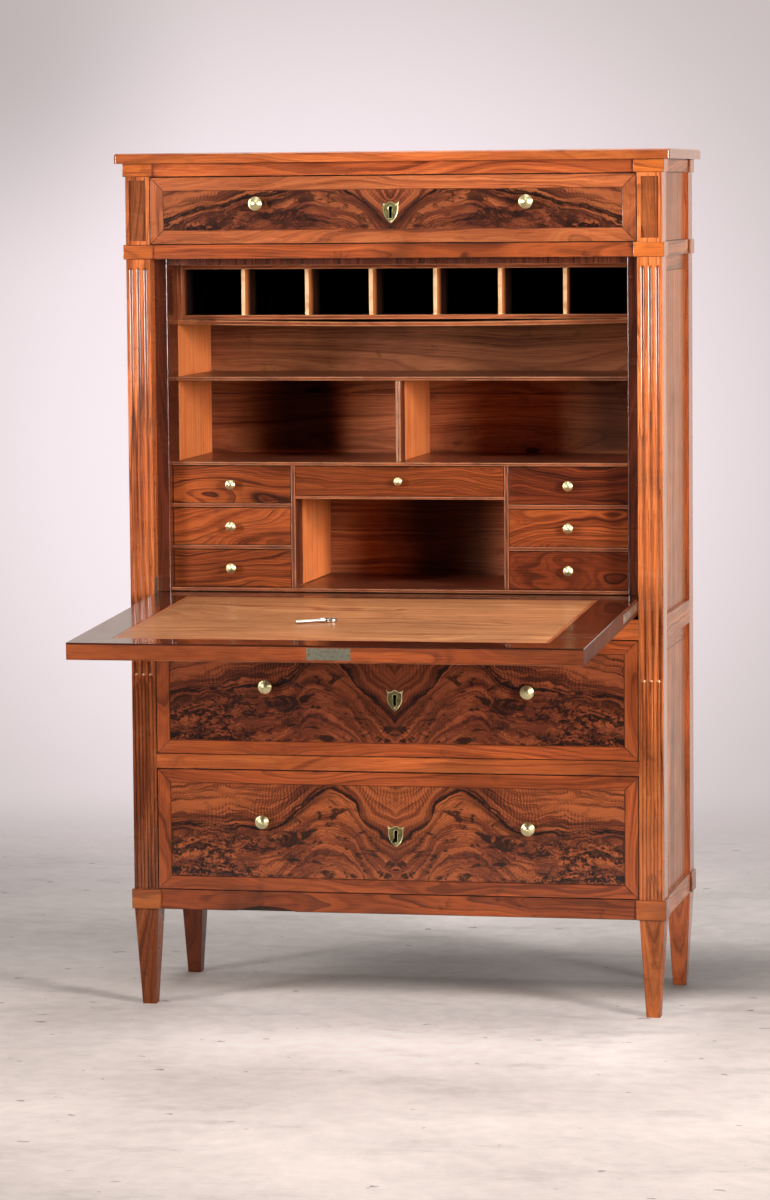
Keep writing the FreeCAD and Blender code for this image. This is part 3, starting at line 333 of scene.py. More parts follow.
class BoardGrain(SharedGroup):
    """Growth rings, pores, dark veins and knots of a plain board, on its own grain coordinates."""

    title = "Board grain"
    inputs = (("Board", "Vector"), ("Light", "Color"), ("Mid", "Color"), ("Dark", "Color"), ("Vein", "Color"),
              ("Rings", "Float"), ("Wave", "Float"), ("Veins", "Float"), ("Knots", "Float"))
    outputs = (("Color", "Color"), ("Height", "Float"), ("Tone", "Float"))

    @classmethod
    def draw(cls, g: Graph, given: dict[str, Wire]) -> dict[str, Wire]:
        """Rings round an axis along the grain, bent by slow noise and pushed aside by knots."""
        board, vein_colour = given["Board"], given["Vein"]
        far, chance = g.cells(g.stretched(board, (3.3, 7.0, 0)), 1.0, "2D")
        knots = g.step(chance, 0.66, 0.68) * given["Knots"]
        near = g.step(far, 0.30, 0.0) * knots
        core = g.step(far, 0.055, 0.035) * knots
        slow = g.noise(board, (1.7, 6, 6), detail=1.5, output="Color") - CENTRE
        quick = g.noise(board, (9, 26, 26), detail=1, output="Color") - CENTRE
        x, y, z = g.parts(board + (slow * 0.09 + quick * 0.009) * given["Wave"])
        y = y + near * 0.016
        ring = g.math("POWER", y * y + z * z, 0.5) * given["Rings"]
        coarse = g.lines(ring, x, 1.5, 0.9, 4.0, rough=0.6)
        fine = g.lines(ring, x, 5.5, 2.4, 9.0)
        year = g.math("FRACT", ring * 1.9 + coarse * 2.2)
        strong = g.step(g.lines(ring, x, 1.3, 1.4, 31.0), 0.36, 0.64, 0.08, 1.0)
        late = g.math("POWER", year, 3.2) * g.step(year, 1.0, 0.95) * strong
        fibre = g.noise(board, (14, 620, 620), detail=1)
        pores = g.step(g.noise(board, (30, 900, 900), detail=0), 0.60, 0.72)
        tone = coarse * 0.46 + (fine * 0.34 + fibre * 0.20)
        colour = g.mix(g.step(tone, 0.39, 0.485), given["Dark"], given["Mid"])
        colour = g.mix(g.step(tone, 0.48, 0.58), colour, given["Light"])
        vein = g.step(g.lines(ring, x, 0.9, 0.8, 17.0, detail=3, rough=0.62), 0.57, 0.70)
        halo = g.step(near, 0.5, 0.9) * 0.35
        for dark in (g.math("MAXIMUM", vein * 0.75, late) * given["Veins"],
                     g.math("MAXIMUM", core, halo) * 0.9, pores * 0.30):
            colour = g.mix(dark, colour, vein_colour)
        colour = g.dimmed(colour, g.step(g.noise(board, (2.2, 4, 4), (5, 2, 8)), 0.28, 0.72, 0.76, 1.16))
        return {"Color": colour, "Height": fibre * 0.35 + coarse * 0.3 - pores * 0.6, "Tone": tone}


class BurrGrain(SharedGroup):
    """The swirling figure of burr walnut: lines that follow a given rise, dark streaks, burls and ripple."""

    title = "Burr grain"
    inputs = (("Leaf", "Vector"), ("Rise", "Float"), ("Light", "Color"), ("Mid", "Color"), ("Dark", "Color"),
              ("Black", "Color"), ("Streak", "Float"), ("Burls", "Float"), ("Ripple", "Float"),
              ("Lean", "Float"), ("Outer", "Float"))
    outputs = BoardGrain.outputs

    @classmethod
    def draw(cls, g: Graph, given: dict[str, Wire]) -> dict[str, Wire]:
        """Contour lines of the height above the rise, warped twice, with knots below it and ripple above."""

        def bell(value: Wire) -> Wire:
            """A bell that is 1 where the value is 0."""
            return g.math("POWER", 2.718, value * value * -1.0)

        leaf = given["Leaf"]
        wide = g.noise(leaf, (11, 17, 1), output="Color") - CENTRE
        tight = g.noise(leaf, (46, 60, 1), (3, 1, 0), detail=2.5, rough=0.6, output="Color") - CENTRE
        u, v, seed = g.parts(leaf)
        above = v - given["Rise"]
        below = g.step(above, 0.004, -0.03)
        outer = g.step(u, 0.10, 0.36)
        patchy = g.noise(leaf, (11, 15, 1), (7, 4, 2))
        burl = g.step(patchy, 0.36, 0.56) * (below * (outer + 0.25))
        burl = g.math("MULTIPLY", burl, given["Burls"], clamp=True)
        du, dv, _ = g.parts(wide * 0.044 + tight * (burl * 0.026 + 0.009))
        flow, run = above + dv, u + du
        bands = g.lines(flow, run, 62.0, 4.0, seed, detail=3, rough=0.6)
        fine = g.lines(flow, run, 420.0, 16.0, seed)
        year = g.math("FRACT", flow * 205.0 + bands * 3.6)
        strong = g.step(g.lines(flow, run, 40.0, 9.0, 7.0), 0.36, 0.60, 0.15, 1.0)
        late = g.math("POWER", year, 2.6) * g.step(year, 1.0, 0.93) * strong
        swollen = g.stretched(leaf, (34, 88, 1)) + tight * 2.4
        knotty = g.noise(swollen, detail=4, rough=0.68, distortion=1.3)
        tone = (bands * 0.72 + fine * 0.28) * (1.0 - burl * 0.7) + knotty * (burl * 0.7)
        phase = (u + v * given["Lean"]) * 1080.0 + g.noise(leaf, (22, 30, 1)) * 22.0
        curl = g.math("SINE", phase) * given["Ripple"]
        curl = curl * g.step(g.noise(leaf, (12, 12, 1), (1, 6, 3), detail=1), 0.36, 0.66)
        tone = tone + curl * g.step(above, -0.03, 0.02, 0.012, 0.050)
        lift = g.step(above, 0.005, 0.03) * outer * 0.07
        cloud = g.noise(leaf, (7, 11, 1), (4, 4, 4), detail=3) - 0.5
        tone = tone + lift + cloud * 0.30
        colour = g.mix(g.step(tone, 0.37, 0.48), given["Dark"], given["Mid"])
        colour = g.mix(g.step(tone, 0.47, 0.60), colour, given["Light"])
        ragged = (g.noise(leaf, (52, 70, 1), (6, 2, 7), detail=5, rough=0.70) - 0.5) * 0.030
        streak = bell((flow + ragged) / given["Streak"])
        broken = g.step(g.noise(leaf, (15, 26, 1), (9, 9, 5), detail=4, rough=0.6), 0.40, 0.50)
        belt = bell(flow / 0.024)
        threads = g.step(g.lines(flow, run, 170.0, 9.0, 23.0, detail=3, rough=0.65), 0.46, 0.58)
        streak = g.math("MAXIMUM", streak * broken, threads * belt)
        clots = g.noise(leaf, (19, 40, 1), (2, 8, 1), detail=5, rough=0.68, distortion=1.1)
        clots = g.step(clots, 0.505, 0.585)
        low_corner = g.step(u, 0.24, 0.40) * g.step(v, given["Outer"], -0.09)
        clots = clots * (below * 0.6 + (low_corner + 0.30))
        flames = g.step(knotty, 0.53, 0.43) * (burl * 0.95)
        dark = g.math("MAXIMUM", g.math("MAXIMUM", streak, clots * given["Burls"]), flames)
        dark = g.math("MAXIMUM", dark, late * 0.92, clamp=True)
        return {"Color": g.mix(dark, colour, given["Black"]), "Height": tone - dark * 0.4, "Tone": tone}


class Patina(SharedGroup):
    """What age does to polish, and painted light: cloudy tone, grime, tinted edges that include painted
    highlights, painted shade in marked hollows, wormholes and a dulled sheen.
    """

    title = "Patina"
    inputs = (("Color", "Color"), ("Place", "Vector"), ("Edge", "Float"), ("Edge tint", "Color"),
              ("Hollow", "Float"), ("Grime", "Float"), ("Holes", "Float"), ("Sheen", "Float"))
    outputs = (("Color", "Color"), ("Roughness", "Float"), ("Height", "Float"))

    @classmethod
    def draw(cls, g: Graph, given: dict[str, Wire]) -> dict[str, Wire]:
        """Layers of noise on the object's own coordinates."""
        place = given["Place"]
        dirt_and_shade = (0.018, 0.007, 0.004)
        cloud = g.noise(place, scale=7.0, detail=3)
        blotch = g.noise(place, scale=23.0, detail=4, rough=0.62)
        colour = g.mix(g.step(cloud, 0.46, 0.76) * given["Grime"], given["Color"], dirt_and_shade)
        colour = g.mix(g.step(blotch, 0.60, 0.74) * given["Grime"], colour, dirt_and_shade)
        # Edges take the edge tint: dark joints, rubbed bare wood, and a painted highlight where the tint is
        # pale.
        rubbed = given["Edge"] * g.step(g.noise(place, scale=38.0, detail=3), 0.28, 0.56, 0.35, 1.0)
        colour = g.mix(rubbed, colour, given["Edge tint"])
        # Painted shade where the mesh marks hollows.
        colour = g.mix(given["Hollow"] * g.step(blotch, 0.3, 0.6, 0.78, 0.97), colour, dirt_and_shade)
        far, pick = g.cells(place, 58.0)
        hole = g.step(far, 0.085, 0.050) * g.step(pick, 0.925, 0.935) * given["Holes"]
        smear = g.noise(place, (3, 3, 9), scale=3.0, detail=4)
        rough = g.math("ADD", given["Sheen"], (smear - 0.5) * 0.22, clamp=True)
        return {"Color": g.mix(hole, colour, dirt_and_shade), "Roughness": rough, "Height": hole * -1.0}


# ------------------------------------------------------------------ finishes


class Finish:
    """A finish that makes its material once, on first use."""

    name: str

    def material(self) -> bpy.types.Material:
        """The finish as a material."""
        made = bpy.data.materials.get(self.name)
        if made is None:
            made, g, surface = principled(self.name)
            self.dress(g, surface)
        return made

    def dress(self, g: Graph, surface: bpy.types.Node) -> None:
        """Build the nodes that feed the surface shader."""
        raise NotImplementedError


def principled(name: str) -> tuple[bpy.types.Material, Graph, bpy.types.Node]:
    """A new material, its graph and its surface shader."""
    made = bpy.data.materials.new(name)
    made.use_nodes = True
    return made, Graph(made.node_tree), made.node_tree.nodes["Principled BSDF"]


def bump(g: Graph, height: Wire, strength: float, distance: float) -> Wire:
    """A normal that a height shapes."""
    made = g.fill(g.node("ShaderNodeBump"), Strength=strength, Distance=distance, Height=height)
    return Wire(g, made.outputs[0])


@dataclass(frozen=True)
class Polish:
    """How a surface is polished and worn, and the painted shade and highlights that some finishes carry.

    Attributes:
        sheen: Base roughness under the polish.
        coat: Weight of the clear coat.
        coat_roughness: Roughness of the clear coat.
        specular: Specular level of the wood itself.
        grime: Depth of the cloudy dirt.
        holes: Strength of the wormholes.
        edge: How far the softened edges take the edge tint.
        edge_tint: The tint of the softened edges: dark for dirt in the joints, lighter for bare wood on
            rubbed edges, and pale for a painted highlight where edges catch the light.
        low_painted_shade_and_wear: How far the wood darkens towards the floor, a painted shade where less
            light reaches; the coat thins there too.
        deep_painted_shade: Where along +Y the wood darkens towards near black with depth behind the front, a
            painted shade, if it does.
        painted_shades: Painted shade: dark zones over the board where the lamps' light falls short.
    """

    sheen: float = 0.36
    coat: float = 0.5
    coat_roughness: float = 0.10
    specular: float = 0.35
    grime: float = 0.30
    holes: float = 0.8
    edge: float = 0.85
    edge_tint: Triple = (0.014, 0.005, 0.003)
    low_painted_shade_and_wear: float = 0.0
    deep_painted_shade: Optional[Pair] = None
    painted_shades: tuple["Shade", ...] = ()

    def apply(self, g: Graph, surface: bpy.types.Node, grain: dict[str, Wire], relief: float) -> None:
        """Put patina, relief and polish over a grain.

        Args:
            g: The material's graph.
            surface: Its surface shader.
            grain: Outputs of the grain group.
            relief: Strength of the grain's relief.
        """
        place = g.object_place()
        aged = Patina.use(g, self, Color=grain["Color"], Place=place, Hollow=g.attribute("hollow", "Fac"),
                          Edge=g.attribute("edge", "Fac") * self.edge)
        colour = aged["Color"]
        _, deep, up = g.parts(place)
        coat: Number = self.coat
        # Painted shade darkening the wood towards the floor, and a coat worn thin there.
        if self.low_painted_shade_and_wear:
            colour = g.mix(g.step(up, 0.85, 0.25, 0.0, self.low_painted_shade_and_wear), colour, (0.035, 0.009, 0.005))
            coat = g.step(up, 0.14, 0.26, 0.1 * self.coat, self.coat)
        # Painted shade deep inside, darkening with depth behind the front.
        if self.deep_painted_shade:
            colour = g.mix(g.step(deep, *self.deep_painted_shade, 0.0, 0.97), colour, (0.003, 0.0015, 0.001))
        # Painted shade: dark zones mixed over the colour.
        for painted_shade in self.painted_shades:
            colour = g.mix(painted_shade.mask(g, place), colour, (0.004, 0.002, 0.0015))
        g.fill(surface, Base_Color=colour, Roughness=aged["Roughness"],
               Normal=bump(g, grain["Height"] * 0.5 + aged["Height"], relief, 0.0006),
               Specular_IOR_Level=self.specular, Coat_Weight=coat, Coat_Roughness=self.coat_roughness,
               Coat_IOR=1.5)


@dataclass(frozen=True)
class Shade:
    """Painted shade: a dark zone over a board where the lamps' light falls short, faded in and out along X,
    between two heights.
    """

    x: tuple[float, float, float, float]
    z: Pair
    amount: float

    def mask(self, g: Graph, place: Wire) -> Wire:
        """Where the zone lies, from 0 to its amount."""
        across, _, up = g.parts(place)
        wide = g.step(across, *self.x[:2], 0.0, self.amount) * g.step(across, *self.x[2:], 1.0, 0.0)
        low, high = self.z
        tall = g.step(up, low - 0.01, low + 0.01) * g.step(up, high - 0.01, high + 0.01, 1.0, 0.0)
        return wide * tall


@dataclass(frozen=True)
class Wood(Finish):
    """A plain board's finish: four tones from light to vein, its figure and its polish."""

    name: str
    light: Triple
    mid: Triple
    dark: Triple
    vein: Triple
    rings: float = 85.0
    wave: float = 1.0
    veins: float = 0.5
    knots: float = 0.0
    polish: Polish = Polish()
    relief: float = 0.25

    def dress(self, g: Graph, surface: bpy.types.Node) -> None:
        """Board grain under the polish."""
        grain = BoardGrain.use(g, self, Board=g.attribute("grain"))
        self.polish.apply(g, surface, grain, self.relief)


@dataclass(frozen=True)
class Burr(Finish):
    """A book-matched burr veneer.

    Attributes:
        crest: The line that the figure follows, as (share of the half width, share of the height) pairs.
        half: Half width of the veneer.
        tall: Height of the veneer.
        streak: Half width of the dark streak along the crest.
    """

    name: str
    crest: Pairs
    tall: float
    half: float = 0.4105
    streak: float = 0.0050
    burls: float = 1.0
    ripple: float = 1.0
    lean: float = 0.15
    light: Triple = (0.42, 0.108, 0.032)
    mid: Triple = (0.19, 0.043, 0.015)
    dark: Triple = (0.060, 0.014, 0.007)
    black: Triple = (0.009, 0.004, 0.003)
    seed: float = 0.0
    polish: Polish = Polish(sheen=0.32, coat=0.5, coat_roughness=0.06, specular=0.2, grime=0.15, holes=0.2)

    def dress(self, g: Graph, surface: bpy.types.Node) -> None:
        """Burr grain round the crest, mirrored about the middle."""
        u, v, _ = g.parts(g.attribute("grain"))
        out = g.math("ABSOLUTE", u)
        curve = g.node("ShaderNodeFloatCurve")
        points = curve.mapping.curves[0].points
        for index, point in enumerate(self.crest):
            if index < len(points):
                points[index].location = point
            else:
                points.new(*point)
        curve.mapping.update()
        g.fill(curve, Value=out / self.half)
        rise = (Wire(g, curve.outputs[0]) - 0.5) * (self.tall / 0.6)
        grain = BurrGrain.use(g, self, Leaf=g.place(out, v, self.seed), Rise=rise, Outer=-0.18 * self.tall)
        self.polish.apply(g, surface, grain, 0.12)


@dataclass(frozen=True)
class Metal(Finish):
    """A cast or rolled metal with clouds of tarnish."""

    name: str
    bright: Triple
    tarnish: Triple
    roughness: float
    spots: float = 0.5

    def dress(self, g: Graph, surface: bpy.types.Node) -> None:
        """Clouds of tarnish and fine scratches."""
        place = g.object_place()
        cloud = g.noise(place, scale=160.0, detail=4, rough=0.6)
        film = g.step(cloud, 0.42, 0.72) * self.spots
        scratches = g.noise(place, (900, 260, 900))
        g.fill(surface, Base_Color=g.mix(film, self.bright, self.tarnish), Metallic=1.0,
               Roughness=film * 0.25 + (scratches * 0.1 + self.roughness),
               Normal=bump(g, cloud + scratches * 0.5, 0.08, 0.0003))


GLOSSY = dict(sheen=0.28, coat=0.7, coat_roughness=0.07)
WAXED = dict(sheen=0.40, coat=0.3, coat_roughness=0.16)
BARE = dict(sheen=0.62, coat=0.0, specular=0.15)
# Dull, unpolished wood that darkens to near black deep inside the pigeonholes: painted shade.
DULL = dict(sheen=0.8, coat=0.0, deep_painted_shade=(FACE_Y + 0.112, FACE_Y + 0.150))
WEATHERED = Polish(sheen=0.34, coat=0.3, coat_roughness=0.12, specular=0.25, grime=0.7)
# Its pale edge tint paints highlights along the pilasters' softened edges and on the reed tops.
POST_POLISH = Polish(
    sheen=0.26, coat=1.0, coat_roughness=0.09, specular=0.15, grime=0.4, holes=1.0, edge=0.8,
    edge_tint=(0.92, 0.56, 0.30))
FIGURED_POLISH = Polish(sheen=0.36, coat=0.1, coat_roughness=0.14, specular=0.12, holes=0.3)
RUBBED = (0.50, 0.22, 0.095)
# A pale edge tint that paints highlights on the dividers' front edges.
PAINTED_EDGE_HIGHLIGHT = (0.86, 0.56, 0.30)

PLAIN_WALNUT = Wood(
    "Polished walnut", (0.60, 0.145, 0.036), (0.44, 0.092, 0.024), (0.20, 0.040, 0.012),
    (0.040, 0.010, 0.005), rings=70, veins=0.75, polish=Polish(**GLOSSY))
BLOCK_WALNUT = Wood(
    "Block walnut", (0.72, 0.190, 0.034), (0.575, 0.137, 0.026), (0.31, 0.069, 0.015),
    (0.057, 0.015, 0.0069), rings=60, veins=0.6, polish=Polish(**GLOSSY, edge=0.45, low_painted_shade_and_wear=0.35))
EDGE_WALNUT = Wood(
    "Fall lipping", (0.37, 0.084, 0.023), (0.265, 0.055, 0.0155), (0.12, 0.026, 0.009),
    (0.034, 0.010, 0.006), rings=60, veins=0.7, polish=Polish(sheen=0.5, coat=0.0, specular=0.15, edge=0.4))
END_WALNUT = replace(
    EDGE_WALNUT, name="Fall end grain", light=(0.19, 0.046, 0.015), mid=(0.14, 0.032, 0.011),
    dark=(0.07, 0.016, 0.006), vein=(0.02, 0.006, 0.004))
DARK_WALNUT = Wood(
    "Weathered walnut", (0.42, 0.092, 0.022), (0.295, 0.060, 0.015), (0.135, 0.027, 0.008),
    (0.035, 0.010, 0.006), rings=70, veins=0.8, polish=WEATHERED)
# The weathered walnut, darkened towards the floor, for the rear left post in place of the rear right post's
# polished walnut: painted shade.
SHADED_WALNUT = replace(DARK_WALNUT, name="Shaded walnut", polish=replace(WEATHERED, low_painted_shade_and_wear=0.6))
POST_WALNUT = Wood(
    "Right pilaster walnut", (0.80, 0.235, 0.068), (0.64, 0.160, 0.040), (0.33, 0.072, 0.018),
    (0.060, 0.015, 0.008), rings=120, wave=0.6, veins=0.8, polish=replace(POST_POLISH, low_painted_shade_and_wear=0.30))
# A darker copy of the right pilaster's walnut for the left post, away from the key lamp: painted shade.
SHADED_LEFT_POST_WALNUT = Wood(
    "Shaded left pilaster walnut", (0.70, 0.200, 0.058), (0.52, 0.125, 0.033), (0.27, 0.058, 0.016),
    (0.05, 0.013, 0.0075), rings=120, wave=0.6, veins=0.8, polish=replace(POST_POLISH, low_painted_shade_and_wear=0.62))
BAND_WALNUT = Wood(
    "Cross banding", (0.521, 0.151, 0.049), (0.395, 0.101, 0.032), (0.21, 0.05, 0.018),
    (0.059, 0.016, 0.0076), rings=95, wave=1.2, veins=0.6, polish=Polish(**GLOSSY, holes=0.3))
LOW_BAND_WALNUT = Wood(
    "Lower banding", (0.48, 0.108, 0.028), (0.35, 0.071, 0.018), (0.17, 0.035, 0.010),
    (0.045, 0.012, 0.006), rings=95, wave=1.2, veins=0.7,
    polish=Polish(sheen=0.32, coat=0.4, specular=0.25, holes=0.3))
TOP_WALNUT = Wood(
    "Top walnut", (0.622, 0.16, 0.039), (0.504, 0.116, 0.029), (0.277, 0.059, 0.016),
    (0.055, 0.014, 0.0067), rings=60, veins=0.6,
    polish=Polish(sheen=0.24, coat=0.8, coat_roughness=0.05, edge=0.22))
SIDE_WALNUT = Wood(
    "Side walnut", (0.58, 0.185, 0.055), (0.40, 0.118, 0.036), (0.20, 0.054, 0.018), (0.05, 0.015, 0.008),
    rings=75, wave=1.3, veins=0.8,
    polish=Polish(sheen=0.34, coat=0.25, coat_roughness=0.13, specular=0.25, grime=0.35))
FIGURED_WALNUT = Wood(
    "Figured walnut", (0.330, 0.075, 0.018), (0.200, 0.040, 0.011), (0.080, 0.016, 0.005),
    (0.012, 0.004, 0.0025), rings=66, wave=4.4, veins=1.0, polish=FIGURED_POLISH)
DARK_FIGURED_WALNUT = replace(
    FIGURED_WALNUT, name="Dark figured walnut", light=(0.180, 0.034, 0.010), mid=(0.105, 0.019, 0.0062),
    dark=(0.040, 0.008, 0.0036), vein=(0.0080, 0.0028, 0.0016))
STRAIGHT_WALNUT = Wood(
    "Straight walnut", (0.375, 0.086, 0.022), (0.265, 0.054, 0.014), (0.12, 0.024, 0.007),
    (0.018, 0.0055, 0.003), rings=70, wave=2.4, veins=0.95, polish=FIGURED_POLISH)
INNER_WALNUT = Wood(
    "Inner walnut", (0.28, 0.068, 0.025), (0.175, 0.038, 0.015), (0.080, 0.018, 0.008),
    (0.022, 0.007, 0.004), rings=70, veins=0.7,
    polish=Polish(**WAXED, grime=0.4, edge=0.6, edge_tint=RUBBED))
# Its pale edge tint paints the highlight along the lining's bead.
JAMB_WALNUT = Wood(
    "Jamb walnut", (0.17, 0.038, 0.015), (0.105, 0.023, 0.010), (0.050, 0.012, 0.006),
    (0.016, 0.006, 0.004), rings=70, veins=0.8,
    polish=Polish(sheen=0.26, coat=0.9, coat_roughness=0.12, grime=0.4, edge=0.9, edge_tint=(0.86, 0.62,
        0.42)))
BORDER_WALNUT = Wood(
    "Writing border", (0.077, 0.017, 0.0068), (0.056, 0.012, 0.0050), (0.029, 0.0062, 0.0031),
    (0.011, 0.0037, 0.0025), rings=60, veins=0.5, relief=0.05,
    polish=Polish(sheen=0.18, coat=0.5, coat_roughness=0.02, grime=0.2, holes=0.2))
CROSSBAND = Wood(
    "Writing crossband", (0.50, 0.150, 0.050), (0.40, 0.105, 0.034), (0.22, 0.052, 0.019),
    (0.06, 0.018, 0.010), rings=110, veins=0.6, polish=Polish(**WAXED, holes=0.2))
GOLDEN_PINE = Wood(
    "Golden pine", (0.94, 0.300, 0.090), (0.86, 0.230, 0.062), (0.62, 0.140, 0.036), (0.24, 0.050, 0.016),
    rings=150, wave=0.5, veins=0.6,
    polish=Polish(sheen=0.5, coat=0.12, coat_roughness=0.3, specular=0.25, grime=0.18, holes=0.7))
# Painted shade on the compartment's back boards: the shadows that walls, partition and nest cast between the
# two side lamps. The boards' own tones are set light for the lit parts.
BACK_PAINTED_SHADES = (
    Shade((-0.6, -0.5, 0.5, 0.6), (SHELF_Z, BAND_BOTTOM), 0.30),
    Shade((-0.40, -0.26, -0.20, -0.14), (NEST_Z, SHELF_Z), 0.88),
    Shade((-0.50, -0.45, -0.36, -0.20), (NEST_Z, SHELF_Z), 0.35),
    Shade((0.22, 0.33, 0.5, 0.6), (NEST_Z, SHELF_Z), 0.75),
    Shade((-0.12, 0.0, 0.08, 0.18), (0.0, NEST_Z), 0.85))
BACK_PINE = Wood(
    "Back pine", (0.60, 0.205, 0.082), (0.46, 0.142, 0.058), (0.27, 0.078, 0.034), (0.030, 0.011, 0.006),
    rings=130, wave=0.45, veins=0.35, knots=1.0,
    polish=Polish(sheen=0.55, coat=0.0, specular=0.1, grime=0.40, painted_shades=BACK_PAINTED_SHADES))
CASE_PINE = Wood(
    "Pigeonhole pine", (0.66, 0.235, 0.085), (0.54, 0.155, 0.050), (0.32, 0.080, 0.028),
    (0.09, 0.026, 0.012), rings=150, wave=0.5,
    polish=Polish(**DULL, specular=0.05, grime=0.35, holes=1.0, edge=0.9, edge_tint=PAINTED_EDGE_HIGHLIGHT))
CASE_WALNUT = Wood(
    "Pigeonhole walnut", (0.40, 0.112, 0.042), (0.27, 0.066, 0.026), (0.13, 0.032, 0.014),
    (0.035, 0.011, 0.007), rings=90, veins=0.6,
    polish=Polish(**DULL, specular=0.08, edge=0.7, edge_tint=RUBBED))
OAK_BOX = Wood(
    "Drawer lining", (0.50, 0.27, 0.12), (0.40, 0.205, 0.088), (0.27, 0.13, 0.055), (0.14, 0.06, 0.028),
    rings=110, wave=0.7, polish=Polish(**BARE, edge=0.3))
PLAIN_BACK = Wood(
    "Plain back boards", (0.30, 0.145, 0.072), (0.22, 0.098, 0.048), (0.13, 0.055, 0.028),
    (0.05, 0.02, 0.012), rings=90, wave=0.9, veins=0.6, knots=1.0,
    polish=Polish(**BARE, grime=0.6, holes=1.0, edge=0.6))
WRITING_VENEER = Wood(
    "Writing veneer", (0.66, 0.300, 0.120), (0.51, 0.200, 0.076), (0.31, 0.098, 0.034),
    (0.15, 0.041, 0.016), rings=75, wave=2.2, veins=0.4,
    polish=Polish(sheen=0.45, coat=0.25, coat_roughness=0.25, specular=0.25, grime=0.26, holes=0.2,
        edge=0.0))
BRASS = Metal("Brass", (0.80, 0.74, 0.42), (0.40, 0.34, 0.13), 0.27)
OLD_BRASS = Metal("Old brass", (0.26, 0.23, 0.09), (0.09, 0.075, 0.03), 0.36, spots=0.8)
STEEL = Metal("Steel", (0.50, 0.49, 0.45), (0.16, 0.15, 0.13), 0.28)
LOCK_PLATE = Metal("Lock plate", (0.36, 0.34, 0.26), (0.12, 0.11, 0.075), 0.42)
KEYHOLE_PAINTED_SHADE = Metal("Keyhole painted shade", (0.004, 0.0035, 0.003), (0.002, 0.0015, 0.001), 0.9)
BLACK_IRON_AND_PAINTED_SHADE = Metal("Black iron and painted shade", (0.012, 0.010, 0.008), (0.005, 0.004, 0.003), 0.8)
FRIEZE_BURR = Burr(
    "Frieze burr", tall=0.070, streak=0.0040, lean=0.35, burls=0.9, ripple=0.7, seed=0.3,
    light=(0.34, 0.092, 0.031), mid=(0.14, 0.033, 0.014), dark=(0.048, 0.012, 0.007),
    crest=((0.0, 0.22), (0.08, 0.46), (0.2, 0.84), (0.33, 0.95), (0.5, 0.80), (0.62, 0.72), (0.8, 0.52),
        (1.0, 0.30)))
MIDDLE_BURR = Burr(
    "Middle burr", tall=0.163, lean=0.05, seed=0.05, light=(0.32, 0.078, 0.027), mid=(0.15, 0.033, 0.013),
    dark=(0.050, 0.012, 0.007),
    crest=((0.0, 0.36), (0.1, 0.48), (0.24, 0.71), (0.36, 0.76), (0.47, 0.62), (0.6, 0.60), (0.8, 0.55),
        (1.0, 0.47)))
LOWER_BURR = Burr(
    "Lower burr", tall=0.168, lean=0.12,
    crest=((0.0, 0.44), (0.1, 0.52), (0.22, 0.74), (0.31, 0.76), (0.42, 0.66), (0.53, 0.55), (0.75, 0.54),
        (1.0, 0.50)))
FALL_BURR = Burr(
    "Fall burr", tall=0.58, streak=0.012, lean=0.2, seed=0.7,
    crest=((0.0, 0.30), (0.15, 0.45), (0.3, 0.68), (0.42, 0.72), (0.6, 0.60), (0.8, 0.48), (1.0, 0.45)))


# ------------------------------------------------------------------ pieces

Vert = bmesh.types.BMVert


def at(x: float, y: float, z: float) -> Matrix:
    """A move."""
    return Matrix.Translation((x, y, z))


def about(axis: str, degrees: float) -> Matrix:
    """A turn about an axis."""
    return Matrix.Rotation(math.radians(degrees), 4, axis)


TO_FRONT = about("X", 90)
"""Turns a shape that stands on z = 0 so that it points along -Y."""


def islands(verts: Sequence[Vert]) -> Iterator[list[Vert]]:
    """Split vertices into the islands that edges join.

    Args:
        verts: The vertices.

    Yields:
        The vertices of each island, from the island with the lowest vertex in (x, y, z) order onwards.
    """
    rest = set(verts)
    while rest:
        island, front = [], [min(rest, key=lambda v: tuple(v.co))]
        rest.discard(front[0])
        while front:
            vert = front.pop()
            island.append(vert)
            for other in (edge.other_vert(vert) for edge in vert.link_edges):
                if other in rest:
                    rest.discard(other)
                    front.append(other)
        yield island


def middle_of(island: Sequence[Vert]) -> Vector:
    """The mean place of some vertices."""
    return sum((vert.co for vert in island), Vector()) / len(island)


